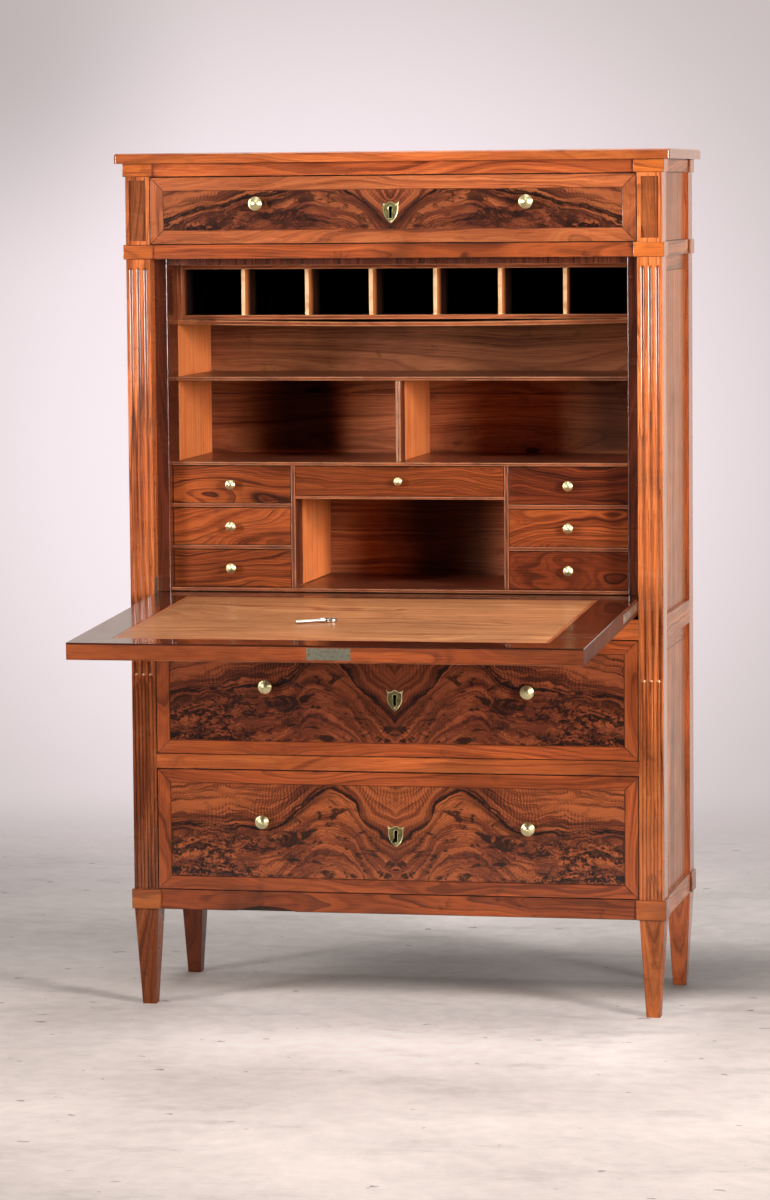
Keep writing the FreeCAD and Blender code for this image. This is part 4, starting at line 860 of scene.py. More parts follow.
class Piece:
    """One dressed piece under construction: a bmesh with its grain coordinates and finishes."""

    def __init__(self, node: str = "", finishes: Sequence[Finish] = (), slot: str = "",
                 body: str = "carcass", name: str = "") -> None:
        """Start an empty piece.

        Args:
            node: The CAD node that it stands for, if any.
            finishes: Its finishes, in the order of their indices.
            slot: The record's material slot; it is not used.
            body: The CAD body that it rides on.
            name: The piece's name, if it isn't the node's with an ending.
        """
        self.name = name or node + "_dressed"
        self.body = body
        self.finishes = finishes
        self.slot = slot
        self.nodes = [node] if node else []
        self.bm = bmesh.new()
        self.grain = self.bm.verts.layers.float_vector.new("grain")
        self.done = self.bm.verts.layers.int.new("done")
        self.hollow = self.bm.verts.layers.float.new("hollow")
        self.edge = self.bm.faces.layers.float.new("edge")
        self.dice = random.Random(self.name)

    def fresh(self) -> list[Vert]:
        """The vertices that no board has claimed yet."""
        return [vert for vert in self.bm.verts if not vert[self.done]]

    def settle(self) -> None:
        """Mark every vertex as claimed."""
        for vert in self.bm.verts:
            vert[self.done] = 1

    def soften(self, width: float, segments: int = 2,
               which: Callable[[bmesh.types.BMEdge], bool] = lambda edge: True, rubbed: float = 1.0) -> None:
        """Bevel the sharp edges of what is new.

        Args:
            width: How far each edge is taken back.
            segments: Facets of the round.
            which: A further test that an edge has to pass.
            rubbed: Share of the edge tint that the new faces take.
        """
        new = set(self.fresh())
        edges = [edge for edge in self.bm.edges if edge.verts[0] in new and edge.is_manifold
                 and edge.calc_face_angle() > SHARP and which(edge)]
        if edges:
            made = bmesh.ops.bevel(self.bm, geom=edges, offset=width, offset_type="OFFSET",
                                   segments=segments, profile=0.5, affect="EDGES", clamp_overlap=True,
                                   material=-1)
            for face in made["faces"]:
                face[self.edge] = rubbed

    def claim(self, grain: Axis = Axis.X, finish: int = 0, place: Optional[Matrix] = None,
              origin: Optional[Triple] = None) -> None:
        """Give what is new its grain, its finish and its place.

        Args:
            grain: Which way the grain runs.
            finish: Index of the finish.
            place: A transform to apply at the end.
            origin: Where the grain's own coordinates start; without it each board gets a random shift.
        """
        fresh = self.fresh()
        for face in {face for vert in fresh for face in vert.link_faces}:
            face.material_index = finish
            face.smooth = True
        for island in islands(fresh):
            start = middle_of(island)
            shift = Vector([self.dice.uniform(*span) for span in ((-9, 9), (-0.05, 0.05), (0.03, 0.11))])
            if origin:
                start, shift = Vector(origin), Vector()
            for vert in island:
                local = vert.co - start
                vert[self.grain] = Vector([local[index] for index in grain.value]) + shift
        if place is not None:
            bmesh.ops.transform(self.bm, matrix=place, verts=fresh)
        self.settle()

    def block(self, low: Sequence[float], high: Sequence[float]) -> list[Vert]:
        """A raw block between two corners, not yet claimed."""
        verts = bmesh.ops.create_cube(self.bm, size=1.0)["verts"]
        low, high = Vector(low), Vector(high)
        bmesh.ops.scale(self.bm, vec=high - low, verts=verts)
        bmesh.ops.translate(self.bm, vec=(low + high) / 2, verts=verts)
        return verts

    def board(self, low: Sequence[float], high: Sequence[float], grain: Axis = Axis.X, finish: int = 0,
              soften: float = 0.0006, place: Optional[Matrix] = None) -> None:
        """A board between two corners with softened edges."""
        self.block(low, high)
        self.soften(soften)
        self.claim(grain, finish, place)

    def cheeks(self, low: Vector, high: Vector, thickness: float, grain: Axis, finish: int = 0,
               soften: float = 0.0008) -> None:
        """Two like boards at the left and right ends of a space."""
        for x in (low.x, high.x - thickness):
            self.board((x, low.y, low.z), (x + thickness, high.y, high.z), grain, finish, soften)

    def tray(self, low: Vector, high: Vector, walls: Triple, finish: int = 0, lift: float = 0.0,
             soften: Pair = (0.0008, 0.0004)) -> None:
        """Sides, back and bottom of a drawer.

        Args:
            low: Its lowest corner.
            high: Its highest corner.
            walls: Thickness of the sides, the back and the bottom.
            finish: Index of the finish.
            lift: How far the back and the bottom stand above the sides' lower edge.
            soften: How far the edges of the walls and of the bottom are taken back.
        """
        side, rear, bottom = walls
        foot = low.z + lift
        self.cheeks(low, high, side, Axis.Y_UPRIGHT, finish, soften[0])
        self.board((low.x + side, high.y - rear, foot), (high.x - side, high.y, high.z), Axis.X, finish,
                   soften[0])
        self.board((low.x + side, low.y, foot), (high.x - side, high.y - rear, foot + bottom), Axis.X_FLAT,
                   finish, soften[1])

    def dirt_and_shade(self, depth: Callable[[Vector], float]) -> None:
        """Darken places through the hollow attribute, where depth gives 0 for an untouched place and 1 for
        the darkest: painted shade in flutes, reed gaps, a sunk panel, a worn hollow and across the writing
        surface, and a darker front to one end of the fall.
        """
        for vert in self.bm.verts:
            vert[self.hollow] = max(vert[self.hollow], min(1.0, depth(vert.co)))

    def paint_edge_highlight(self, where: Callable[[Vector], bool]) -> None:
        """Give the faces that pass the test the finish's edge tint; a pale tint paints a highlight there."""
        for face in self.bm.faces:
            if where(face.calc_center_median()):
                face[self.edge] = 1.0

    def paint(self, finish: int, where: Callable[[Vector], bool]) -> None:
        """Give the faces whose middle passes the test another finish."""
        for face in self.bm.faces:
            if where(face.calc_center_median()):
                face.material_index = finish

    def slice(self, place: Triple, normal: Triple) -> None:
        """Cut every face along a plane."""
        bmesh.ops.bisect_plane(self.bm, geom=self.bm.verts[:] + self.bm.edges[:] + self.bm.faces[:],
                               plane_co=place, plane_no=normal, dist=1e-6)

    def split(self, y: float, rear: int) -> None:
        """Give the faces behind a plane another finish."""
        self.slice((0, y, 0), (0, 1, 0))
        self.settle()
        self.paint(rear, lambda c: c.y > y)

    def frame(self, half: Pair, widths: Sequence[float], thickness: float, place: Matrix, finish: int = 0,
              soften: float = 0.0004, pull: float = 0.0, order: Sequence[int] = (0, 1, 2, 3)) -> None:
        """Four members with mitred ends round a rectangle, lying on the XY plane of a place.

        Args:
            half: Half sizes of the rectangle along X and Y.
            widths: Widths of the members at -Y, +X, +Y and -X.
            thickness: Their thickness.
            place: Where the rectangle's middle stands.
            finish: Index of the finish.
            soften: How far their edges are taken back.
            pull: How far the member at +Y is drawn in.
            order: In which order they are made.
        """
        across, deep = half
        for index in order:
            length, x, y = ((across, 0, -deep), (deep, across, 0), (across, 0, deep - pull),
                            (deep, -across, 0))[index]
            width = widths[index]
            for vert in self.block((-length, 0, 0), (length, width, thickness)):
                if vert.co.y > width / 2:
                    vert.co.x += widths[index - 1] if vert.co.x < 0 else -widths[(index + 1) % 4]
            self.soften(soften)
            self.claim(Axis.X_FLAT, finish, place @ at(x, y, 0) @ about("Z", 90 * index))

    def copy_node(self, node: str, keep: Optional[Callable[[Vector], bool]] = None) -> None:
        """Take a copy of a CAD node's mesh and merge it.

        Args:
            node: The CAD node.
            keep: A test of an island's middle; islands that fail are left out.
        """
        other = bmesh.new()
        other.from_mesh(frame["nodes"][node].data)
        bmesh.ops.remove_doubles(other, verts=other.verts, dist=1e-6)
        bmesh.ops.dissolve_limit(other, angle_limit=math.radians(0.8), verts=other.verts,
                                 edges=other.edges, delimit=set())
        for island in islands(other.verts) if keep else ():
            if not keep(middle_of(island)):
                bmesh.ops.delete(other, geom=island, context="VERTS")
        scratch = bpy.data.meshes.new("scratch")
        other.to_mesh(scratch)
        other.free()
        self.bm.from_mesh(scratch)
        bpy.data.meshes.remove(scratch)

    def adopt(self, node: str, grain: Axis = Axis.X, finish: int = 0, soften: float = 0.0007,
              keep: Optional[Callable[[Vector], bool]] = None, long_only: float = 0.0) -> None:
        """Take a CAD node's shape and soften its sharp edges.

        Args:
            node: The CAD node.
            grain: Which way its grain runs.
            finish: Index of the finish.
            soften: How far sharp edges are taken back.
            keep: A test of an island's middle; islands that fail are left out.
            long_only: Only edges at least this long are softened.
        """
        self.copy_node(node, keep)
        self.soften(soften, which=lambda edge: edge.calc_length() >= long_only)
        self.claim(grain, finish)

    def turned(self, profile: Sequence[Pair], place: Matrix, steps: int = 40, finish: int = 0,
               smooth_rounds: int = 0) -> None:
        """A turned shape about Z.

        Args:
            profile: (radius, height) pairs from the foot's middle to the top's middle.
            place: A transform to apply at the end.
            steps: Facets round the axis.
            finish: Index of the finish.
            smooth_rounds: Times that the profile's corners are cut.
        """
        line = [Vector((r, 0, z)) for r, z in profile]
        for _ in range(smooth_rounds):
            cut = [line[0]]
            for a, b in zip(line, line[1:]):
                cut += [a.lerp(b, 0.25), a.lerp(b, 0.75)]
            line = cut + [line[-1]]
        verts = [self.bm.verts.new(co) for co in line]
        edges = [self.bm.edges.new(pair) for pair in zip(verts, verts[1:])]
        bmesh.ops.spin(self.bm, geom=verts + edges, cent=(0, 0, 0), axis=(0, 0, 1), dvec=(0, 0, 0),
                       angle=math.tau, steps=steps, use_merge=True, use_duplicate=False)
        bmesh.ops.remove_doubles(self.bm, verts=self.fresh(), dist=1e-6)
        new = {face for vert in self.fresh() for face in vert.link_faces}
        bmesh.ops.recalc_face_normals(self.bm, faces=list(new))
        self.claim(Axis.Z, finish, place)

    def dome(self, radius: float, height: float, place: Matrix, finish: int = 0) -> None:
        """A low round head, such as a pin's, that stands on z = 0."""
        self.turned([(0, -height * 0.6), (radius, -height * 0.6), (radius, 0),
                     (radius * 0.75, height * 0.7), (0, height)], place, 16, finish, 1)

    def carve(self, *cutters: Callable[["Piece"], None]) -> None:
        """Cut shapes out of what is new, before it is softened and claimed.

        Args:
            cutters: Each builds a cutting shape in the scratch piece that it is given.
        """
        blank = self.bm.copy()
        done = blank.verts.layers.int["done"]
        bmesh.ops.delete(blank, geom=[vert for vert in blank.verts if vert[done]], context="VERTS")
        bmesh.ops.delete(self.bm, geom=self.fresh(), context="VERTS")
        objects = [scratch_object(blank)]
        for cutter in cutters:
            tool = Piece()
            cutter(tool)
            objects.append(scratch_object(tool.bm))
            boolean = objects[0].modifiers.new("cut", "BOOLEAN")
            boolean.operation, boolean.solver, boolean.object = "DIFFERENCE", "EXACT", objects[-1]
        result = objects[0].evaluated_get(bpy.context.evaluated_depsgraph_get())
        meshes = [made.data for made in objects] + [bpy.data.meshes.new_from_object(result)]
        self.bm.from_mesh(meshes[-1])
        for made in objects:
            bpy.data.objects.remove(made)
        for mesh in meshes:
            bpy.data.meshes.remove(mesh)

    def finish(self) -> None:
        """Make the object, give it its materials and set it on its body."""
        mesh = bpy.data.meshes.new(self.name)
        for edge in self.bm.edges:
            edge.smooth = not edge.is_manifold or edge.calc_face_angle() < SHARP
        self.bm.to_mesh(mesh)
        self.bm.free()
        mesh.attributes.remove(mesh.attributes["done"])
        for given in self.finishes:
            mesh.materials.append(given.material())
        made = in_scene(self.name, mesh)
        normals = made.modifiers.new("Flat faces", "WEIGHTED_NORMAL")
        normals.keep_sharp = True
        normals.weight = 100
        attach(made, self.body)
        if self.nodes:
            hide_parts(*self.nodes)
        log.info("%s: %d faces on %s", self.name, len(mesh.polygons), self.body)


def in_scene(name: str, data: Optional[bpy.types.ID]) -> bpy.types.Object:
    """A new object in the scene."""
    made = bpy.data.objects.new(name, data)
    bpy.context.scene.collection.objects.link(made)
    return made


def scratch_object(shape: bmesh.types.BMesh) -> bpy.types.Object:
    """An object of a bare shape, without the layers of a piece; the shape is freed."""
    bmesh.ops.recalc_face_normals(shape, faces=shape.faces)
    mesh = bpy.data.meshes.new("scratch")
    shape.to_mesh(mesh)
    shape.free()
    for layer in ("grain", "done", "hollow", "edge"):
        mesh.attributes.remove(mesh.attributes[layer])
    return in_scene("scratch", mesh)


def dress_node(node: str, finish: Finish, slot: str, grain: Axis, soften: float, long_only: float = 0.0,
               body: str = "carcass", name: str = "") -> None:
    """Dress a CAD node in one finish, with nothing but its edges softened.

    Args:
        node: The CAD node.
        finish: Its finish.
        slot: The record's material slot.
        grain: Which way its grain runs.
        soften: How far sharp edges are taken back.
        long_only: Only edges at least this long are softened.
        body: The CAD body that it rides on.
        name: The piece's name, if it isn't the node's with an ending.
    """
    piece = Piece(node, [finish], slot, body, name)
    piece.adopt(node, grain, soften=soften, long_only=long_only)
    piece.finish()


@dataclass
class Carcass:
    """Posts, rails, panels, top and back."""

    edge: float = 0.0009
    post_edge: float = 0.00055
    post_edge_shortest: float = 0.02
    panel_edge: float = 0.0007
    back_edge: float = 0.0008
    top_round: float = 0.0058
    top_under_round: float = 0.0008
    corner_round: float = 0.005
    head_strip: float = 0.026
    mid_rail: float = 0.042
    panel: float = 0.012
    reach: float = 0.006
    flutes: Pair = (0.4385, 0.4775)
    flute_depth: float = 0.0035
    arris: float = 0.0022
    reed_height: float = 0.385

    def top(self) -> None:
        """The overhanging top with its rounded upper edge."""
        low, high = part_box("top_board")
        piece = Piece("top_board", [TOP_WALNUT], "burr_walnut")
        piece.block(low, high)
        piece.soften(self.corner_round, 4, lambda e: abs(e.verts[0].co.z - e.verts[1].co.z) > 0.01)
        piece.soften(self.top_round, 4, lambda e: min(v.co.z for v in e.verts) > high.z - NEAR)
        piece.soften(self.top_under_round, 2, lambda e: max(v.co.z for v in e.verts) < low.z + NEAR)
        piece.claim(Axis.X_FLAT)
        piece.finish()

    def posts(self) -> None:
        """Fluted front posts with reeds, and plain rear posts, each with its tapered leg."""
        # The left posts take darker copies of the right posts' woods: painted shade on the side away from the
        # key lamp.
        for node, finish in (("front_post_left", SHADED_LEFT_POST_WALNUT), ("front_post_right", POST_WALNUT),
                             ("rear_post_left", SHADED_WALNUT), ("rear_post_right", PLAIN_WALNUT)):
            piece = Piece(node, [finish], "polished_walnut")
            piece.copy_node(node)
            fluted = node.startswith("front")
            if fluted:
                piece.soften(self.arris, 4, self.on_arris, 0.0)
            piece.soften(self.post_edge, which=lambda edge: edge.calc_length() >= self.post_edge_shortest)
            piece.claim(Axis.Z)
            if fluted:
                # Painted shade in the flutes, between the reeds and on the sunk panel.
                piece.dirt_and_shade(self.in_flutes)
                # A painted highlight on the round tops of the reeds.
                piece.paint_edge_highlight(lambda c: self.at_reed_tops(c) and self.among_flutes(c)
                          and FACE_Y + 1e-4 < c.y < FACE_Y + self.flute_depth)
            piece.finish()

    @staticmethod
    def on_arris(edge: bmesh.types.BMEdge) -> bool:
        """Whether an edge is the outer front corner of a pilaster."""
        return edge.calc_length() > 0.3 and all(v.co.y < FACE_Y + 1e-4 and abs(v.co.x) > POST_OUT - 1e-4
                                                for v in edge.verts)

    def at_reed_tops(self, spot: Vector) -> bool:
        """Whether a place is level with the round tops of the reeds."""
        return abs(spot.z - BASE_TOP - self.reed_height - 0.002) < 0.0022

    def among_flutes(self, spot: Vector) -> bool:
        """Whether a place is between the outer edges of a pilaster's outer flutes."""
        return self.flutes[0] < abs(spot.x) < self.flutes[1]

    def in_flutes(self, spot: Vector) -> float:
        """How much painted shade a place on the pilaster takes: in the flutes, by the reeds and on the sunk
        panel.
        """
        share = (spot.y - FACE_Y) / self.flute_depth
        if BAND_TOP < spot.z < FRIEZE_TOP and 0.1 < share < 1.7:
            return 0.66
        inside = BASE_TOP < spot.z < BAND_BOTTOM and self.among_flutes(spot)
        if self.at_reed_tops(spot) or not inside or share > 1.7:
            return 0.0
        return 3.4 * share if spot.z < BASE_TOP + self.reed_height else 0.9 * max(0.0, share - 0.6) / 0.4

    def rails(self) -> None:
        """The blocks that break forward, and the rails between the drawers and the fall."""
        dress_node("corner_blocks", BLOCK_WALNUT, "polished_walnut", Axis.X, 0.0013)
        for node, finish in (("top_rail", PLAIN_WALNUT), ("band_rail", DARK_WALNUT),
                             ("fall_rail", PLAIN_WALNUT), ("drawer_rail", TOP_WALNUT)):
            dress_node(node, finish, "polished_walnut", Axis.X, self.edge, 0.012)
        low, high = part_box("base_rail")
        piece = Piece("base_rail", [DARK_WALNUT], "polished_walnut")
        piece.adopt("base_rail", Axis.X, soften=self.edge, long_only=0.012)
        # Painted shade inside the worn hollow along the rail's lower front edge.
        piece.dirt_and_shade(lambda v: float(low.y + 0.002 < v.y < low.y + self.reach + 0.001
                                   and v.z < low.z + 0.012 and abs(v.x) < high.x - 0.01))
        piece.finish()

    def sides(self) -> None:
        """Rails and sunk panels of the two sides."""
        dress_node("side_rails", SIDE_WALNUT, "polished_walnut", Axis.Y, self.edge)
        low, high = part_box("side_panels")
        head, foot = BAND_BOTTOM - self.head_strip, MIDDLE_TOP - self.head_strip
        piece = Piece("side_panels", [SIDE_WALNUT], "polished_walnut")
        for side in (-1, 1):
            outer, inner = side * high.x, side * (high.x - self.panel)
            for grain, bottom, top in ((Axis.Z, BAND_TOP, FRIEZE_TOP), (Axis.Y, head, BAND_BOTTOM),
                                       (Axis.Z, MIDDLE_TOP + self.mid_rail, head),
                                       (Axis.Y, foot, MIDDLE_TOP), (Axis.Z, BASE_TOP, foot)):
                piece.board((min(outer, inner), low.y, bottom), (max(outer, inner), high.y, top), grain, 0,
                            self.panel_edge)
        piece.finish()

    def back(self) -> None:
        """Rails and boards that close the back."""
        dress_node("back_rails", PLAIN_BACK, "pine", Axis.X, 0.001)
        low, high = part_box("back_panels")
        piece = Piece("back_panels", [PLAIN_BACK, BACK_PINE], "pine")
        for bottom, top, count in ((BAND_TOP, FRIEZE_TOP, 1), (FALL_RAIL_TOP, BAND_BOTTOM, 5),
                                   (BASE_TOP, MIDDLE_TOP, 4)):
            width = (top - bottom) / count
            for index in range(count):
                foot = bottom + width * index
                piece.board((low.x, low.y, foot), (high.x, high.y, foot + width), Axis.X, 0,
                            self.back_edge)
        piece.paint(1, lambda c: c.y < low.y + 0.001)
        piece.finish()

    def hidden(self) -> None:
        """The boards inside that only show when a drawer is out."""
        dress_node("dust_boards", OAK_BOX, "pine", Axis.X_FLAT, self.back_edge)
        dress_node("drawer_runners", OAK_BOX, "pine", Axis.Y, self.back_edge)

    def build(self) -> None:
        """Build every part of the carcass."""
        self.top()
        self.posts()
        self.rails()
        self.sides()
        self.back()
        self.hidden()


@dataclass
class Compartment:
    """The fitted compartment behind the fall."""

    lipping_end: float = FACE_Y + 0.105
    partition_lipping: float = FACE_Y + 0.119
    nest_lipping: float = FACE_Y + 0.111
    bead: float = 0.0021
    bead_rise: float = 0.003
    uprights: Pair = (0.185, 0.2)
    case_board: float = 0.008
    case_back: float = 0.005

    def walls(self) -> None:
        """Side linings, walnut in front and pine behind."""
        piece = Piece("compartment_linings", [JAMB_WALNUT, GOLDEN_PINE], "interior_walnut",
                      name="linings_dressed")
        piece.adopt("compartment_linings", Axis.Z, soften=0.0004, long_only=0.05)
        piece.split(self.lipping_end, 1)
        piece.finish()

    def boards(self) -> None:
        """The floor and the shelves, their front edges rounded."""
        for node, finish, round_edge in (
                ("cabinet_floor", INNER_WALNUT, 0.0012), ("drawer_shelf", INNER_WALNUT, 0.002),
                ("upper_shelf", INNER_WALNUT, 0.0024), ("support_shelf", CASE_WALNUT, 0.002)):
            dress_node(node, finish, "interior_walnut", Axis.X_FLAT, round_edge, 0.1)

    def partition(self) -> None:
        """The partition between the two middle spaces, with a double bead down its front edge."""
        low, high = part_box("centre_partition")
        piece = Piece("centre_partition", [INNER_WALNUT, GOLDEN_PINE], "interior_walnut")
        piece.board((low.x, low.y + self.bead_rise, low.z), high, Axis.Z, 0, 0.0004)
        piece.split(self.partition_lipping, 1)
        for share in (0.25, 0.75):
            x = low.x * (1 - share) + high.x * share
            piece.block((x - self.bead, low.y, low.z),
                        (x + self.bead, low.y + self.bead_rise + 0.001, high.z))
            piece.soften(0.0019, 3, lambda e: all(v.co.y < low.y + NEAR for v in e.verts)
                         and abs(e.verts[0].co.x - e.verts[1].co.x) < NEAR)
            piece.claim(Axis.Z)
        piece.finish()

    def is_upright(self, middle: Vector) -> bool:
        """Whether a board of the drawers' nest stands upright."""
        return self.uprights[0] < abs(middle.x) < self.uprights[1]

    def nest(self) -> None:
        """Uprights and shelves that carry the small drawers."""
        piece = Piece("drawer_nest", [INNER_WALNUT, GOLDEN_PINE], "interior_walnut", name="nest_uprights")
        piece.adopt("drawer_nest", Axis.Z, 0, 0.0016, self.is_upright, 0.1)
        piece.split(self.nest_lipping, 1)
        piece.finish()
        piece = Piece("", [INNER_WALNUT], "interior_walnut", name="nest_shelves")
        piece.adopt("drawer_nest", Axis.X_FLAT, 0, 0.0014, lambda c: not self.is_upright(c), 0.1)
        piece.finish()

    def pigeonholes(self) -> None:
        """The case of seven pigeonholes."""
        low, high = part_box("pigeonhole_case")
        t = self.case_board
        piece = Piece("pigeonhole_case", [CASE_WALNUT], "interior_walnut")
        piece.cheeks(low, high, t, Axis.Z, 0, 0.0012)
        for z in (low.z, high.z - t):
            piece.board((low.x + t, low.y, z), (high.x - t, high.y, z + t), Axis.X_FLAT, 0, 0.0016)
        piece.board((low.x + t, high.y - self.case_back, low.z + t), (high.x - t, high.y, high.z - t),
                    Axis.X, 0, 0.0003)
        piece.finish()
        node = "pigeonhole_dividers"
        piece = Piece(node, [CASE_PINE], "interior_walnut")
        piece.adopt(node, Axis.Z, soften=0.0012, long_only=0.05)
        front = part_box(node)[0].y
        # A painted highlight on the dividers' front faces.
        piece.paint_edge_highlight(lambda c: c.y < front + 0.002)
        piece.finish()

    def build(self) -> None:
        """Build the whole compartment."""
        self.walls()
        self.boards()
        self.partition()
        self.nest()
        self.pigeonholes()


@dataclass(frozen=True)
class Knob:
    """A turned brass knob that points along -Y from its foot, its profile in shares of its sizes."""

    radius: float
    length: float
    profile: Pairs = (
        (0, 0), (0.62, 0), (0.62, 0.07), (0.55, 0.10), (0.40, 0.14), (0.37, 0.36), (0.50, 0.46), (0.92, 0.56),
        (1, 0.60), (1, 0.70), (0.95, 0.74), (0.88, 0.765), (0.80, 0.77), (0.70, 0.80), (0.45, 0.88),
        (0.20, 0.925), (0.13, 0.93), (0.10, 0.90), (0, 0.89))

    def add(self, piece: Piece, foot: Sequence[float]) -> None:
        """Turn the knob into a piece: foot ring, neck, flare, rim and a domed face with a small pit."""
        shape = [(self.radius * across, self.length * out) for across, out in self.profile]
        piece.turned(shape, at(*foot) @ TO_FRONT, 44, 0, 1)


@dataclass
class LargeDrawer:
    """A long drawer: banded burr front, box, knobs, keyhole plate, lock and bolt.

    Attributes:
        name: The drawer's body.
        burr: Veneer of its field.
        bands: Wood of its bands.
        knobs: Place of each knob along X, and its rise over the keyhole's middle.
        walls: Thickness of the box's sides, back and bottom.
        pins: Places of the keyhole plate's pins from its middle, along X and Z.
        pin: Radius and height of a pin's head.
        plate_half: Half width within which the plate and the lock lie.
        lock: Half sizes of the near-black sheet behind the keyhole, a painted shade inside the lock, along X
            and Z.
    """

    name: str
    burr: Burr
    bands: Wood = LOW_BAND_WALNUT
    knobs: Pairs = ((-0.24, 0.021), (0.24, 0.0175))
    knob: Knob = Knob(0.0125, 0.024)
    banding: float = 0.024
    band_thickness: float = 0.002
    field_thickness: float = 0.001
    groove: float = 0.0006
    walls: Triple = (0.011, 0.010, 0.007)
    bottom_lift: float = 0.006
    key_eye: float = 0.0036
    key_length: float = 0.021
    key_slot: float = 0.005
    plate_face: float = FACE_Y - 0.0002
    plate_rim: float = 0.0013
    plate_sink: float = 0.0005
    plate_half: float = 0.05
    pins: Pairs = ((-0.0112, 0.0125), (0.0112, 0.0125), (0, -0.0150))
    pin: Pair = (0.0019, 0.0011)
    lock: Pair = (0.006, 0.014)

    def key_height(self) -> float:
        """Height of the keyhole's middle."""
        low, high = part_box(self.name + "_fittings")
        return (low.z + high.z) / 2

    def front(self) -> None:
        """Core, book-matched field and four mitred bands."""
        node = self.name + "_front"
        low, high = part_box(node)
        piece = Piece(node, [self.bands, self.burr, STRAIGHT_WALNUT, KEYHOLE_PAINTED_SHADE], "burr_walnut", self.name)
        key_z = self.key_height()
        eye_z = key_z + self.key_length / 2 - self.key_eye
        seat = low.y + self.band_thickness

        def slot(tool: Piece) -> None:
            """The keyhole's slot."""
            tool.block((-self.key_slot / 2, low.y - 0.01, key_z - self.key_length / 2),
                       (self.key_slot / 2, high.y + 0.01, eye_z))

        def eye(tool: Piece) -> None:
            """The round eye over it."""
            tool.turned([(0, -0.05), (self.key_eye, -0.05), (self.key_eye, 0.05), (0, 0.05)],
                        at(0, low.y, eye_z) @ TO_FRONT, 24)

        piece.block((low.x, seat, low.z), high)
        piece.carve(slot, eye)
        piece.soften(0.0004, which=lambda e: e.calc_length() > 0.01)
        piece.claim(Axis.X, 2)
        leaf, middle = self.banding + self.groove, (low.z + high.z) / 2
        piece.block((low.x + leaf, low.y + self.field_thickness, low.z + leaf),
                    (high.x - leaf, seat, high.z - leaf))
        piece.carve(slot, eye)
        piece.claim(Axis.X, 1, origin=(0, 0, middle))
        piece.frame((high.x, (high.z - low.z) / 2), [self.banding] * 4, self.band_thickness,
                    at(0, seat, middle) @ TO_FRONT, 0, 0.0007, order=(0, 3, 2, 1))
        # The keyhole's inner faces are painted near black: painted shade inside the hole.
        for face in piece.bm.faces:
            spot = face.calc_center_median()
            if abs(spot.x) < 0.005 and abs(spot.z - key_z) < 0.013 and abs(face.normal.y) < 0.5:
                face.material_index = 3
        piece.finish()

    def box(self) -> None:
        """Sides, back and bottom."""
        node = self.name + "_box"
        piece = Piece(node, [OAK_BOX], "pine", self.name)
        piece.tray(*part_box(node), self.walls, lift=self.bottom_lift)
        piece.finish()

    def brasses(self) -> None:
        """Knobs, keyhole plate with three pins, the lock's case behind the front, and a near-black sheet
        behind the keyhole as painted shade.
        """
        node = self.name + "_fittings"
        z = self.key_height()
        piece = Piece(node, [BRASS, OLD_BRASS, BLACK_IRON_AND_PAINTED_SHADE], "brass", self.name, self.name + "_brasses")
        for x, rise in self.knobs:
            self.knob.add(piece, (x, FACE_Y + self.field_thickness, z + rise))
        behind, half, tall = FACE_Y + 0.01, *self.lock
        piece.adopt(node, Axis.X, 0, 0.0005, lambda c: abs(c.x) < self.plate_half and c.y < behind, 0.004)
        self.sink_shield(piece)
        piece.adopt(node, Axis.X, 2, 0.0006, lambda c: abs(c.x) < self.plate_half and c.y > behind, 0.01)
        # A near-black sheet behind the keyhole: painted shade inside the lock.
        piece.board((-half, FACE_Y + 0.004, z - tall), (half, FACE_Y + 0.007, z + tall), Axis.X, 2, 0.0003)
        for x, up in self.pins:
            piece.dome(*self.pin, at(x, self.plate_face + 0.0003, z + up) @ TO_FRONT)
        piece.finish()

    def sink_shield(self, piece: Piece) -> None:
        """Sink the face of the keyhole plate inside a narrow rim."""
        shield = [face for face in piece.bm.faces if face.normal.y < -0.9
                  and abs(face.calc_center_median().x) < 0.02
                  and abs(face.calc_center_median().y - self.plate_face) < 0.0003]
        bmesh.ops.inset_region(piece.bm, faces=shield, thickness=self.plate_rim, depth=0.0,
                               use_even_offset=True)
        verts = {vert for face in shield for vert in face.verts}
        bmesh.ops.translate(piece.bm, vec=(0, self.plate_sink, 0), verts=list(verts))
        for face in shield:
            face.material_index = 1
        piece.settle()

    def build(self) -> None:
        """Build the drawer, with the lock's sliding bolt."""
        self.front()
        self.box()
        self.brasses()
        bolt = self.name + "_bolt"
        dress_node(bolt, OLD_BRASS, "brass", Axis.Z, 0.0004, body=bolt)


@dataclass
class SmallDrawer:
    """A small drawer of the compartment."""

    name: str
    finish: Wood
    knob: Knob = Knob(0.009, 0.018)
    front: float = 0.010
    walls: Triple = (0.007, 0.007, 0.005)

    def build(self) -> None:
        """Front, box and knob."""
        low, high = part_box(self.name)
        piece = Piece(self.name, [self.finish, OAK_BOX], "interior_walnut", self.name)
        face = low.y + self.front
        piece.board(low, (high.x, face, high.z), Axis.X, 0, 0.0007)
        piece.tray(Vector((low.x, face, low.z)), Vector((high.x, high.y, high.z - self.walls[2])), self.walls,
                   1, soften=(0.0005, 0.0003))
        piece.finish()
        node = self.name + "_knob"
        low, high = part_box(node)
        brass = Piece(node, [BRASS], "brass", self.name)
        self.knob.add(brass, ((low.x + high.x) / 2, high.y, (low.z + high.z) / 2))
        brass.finish()


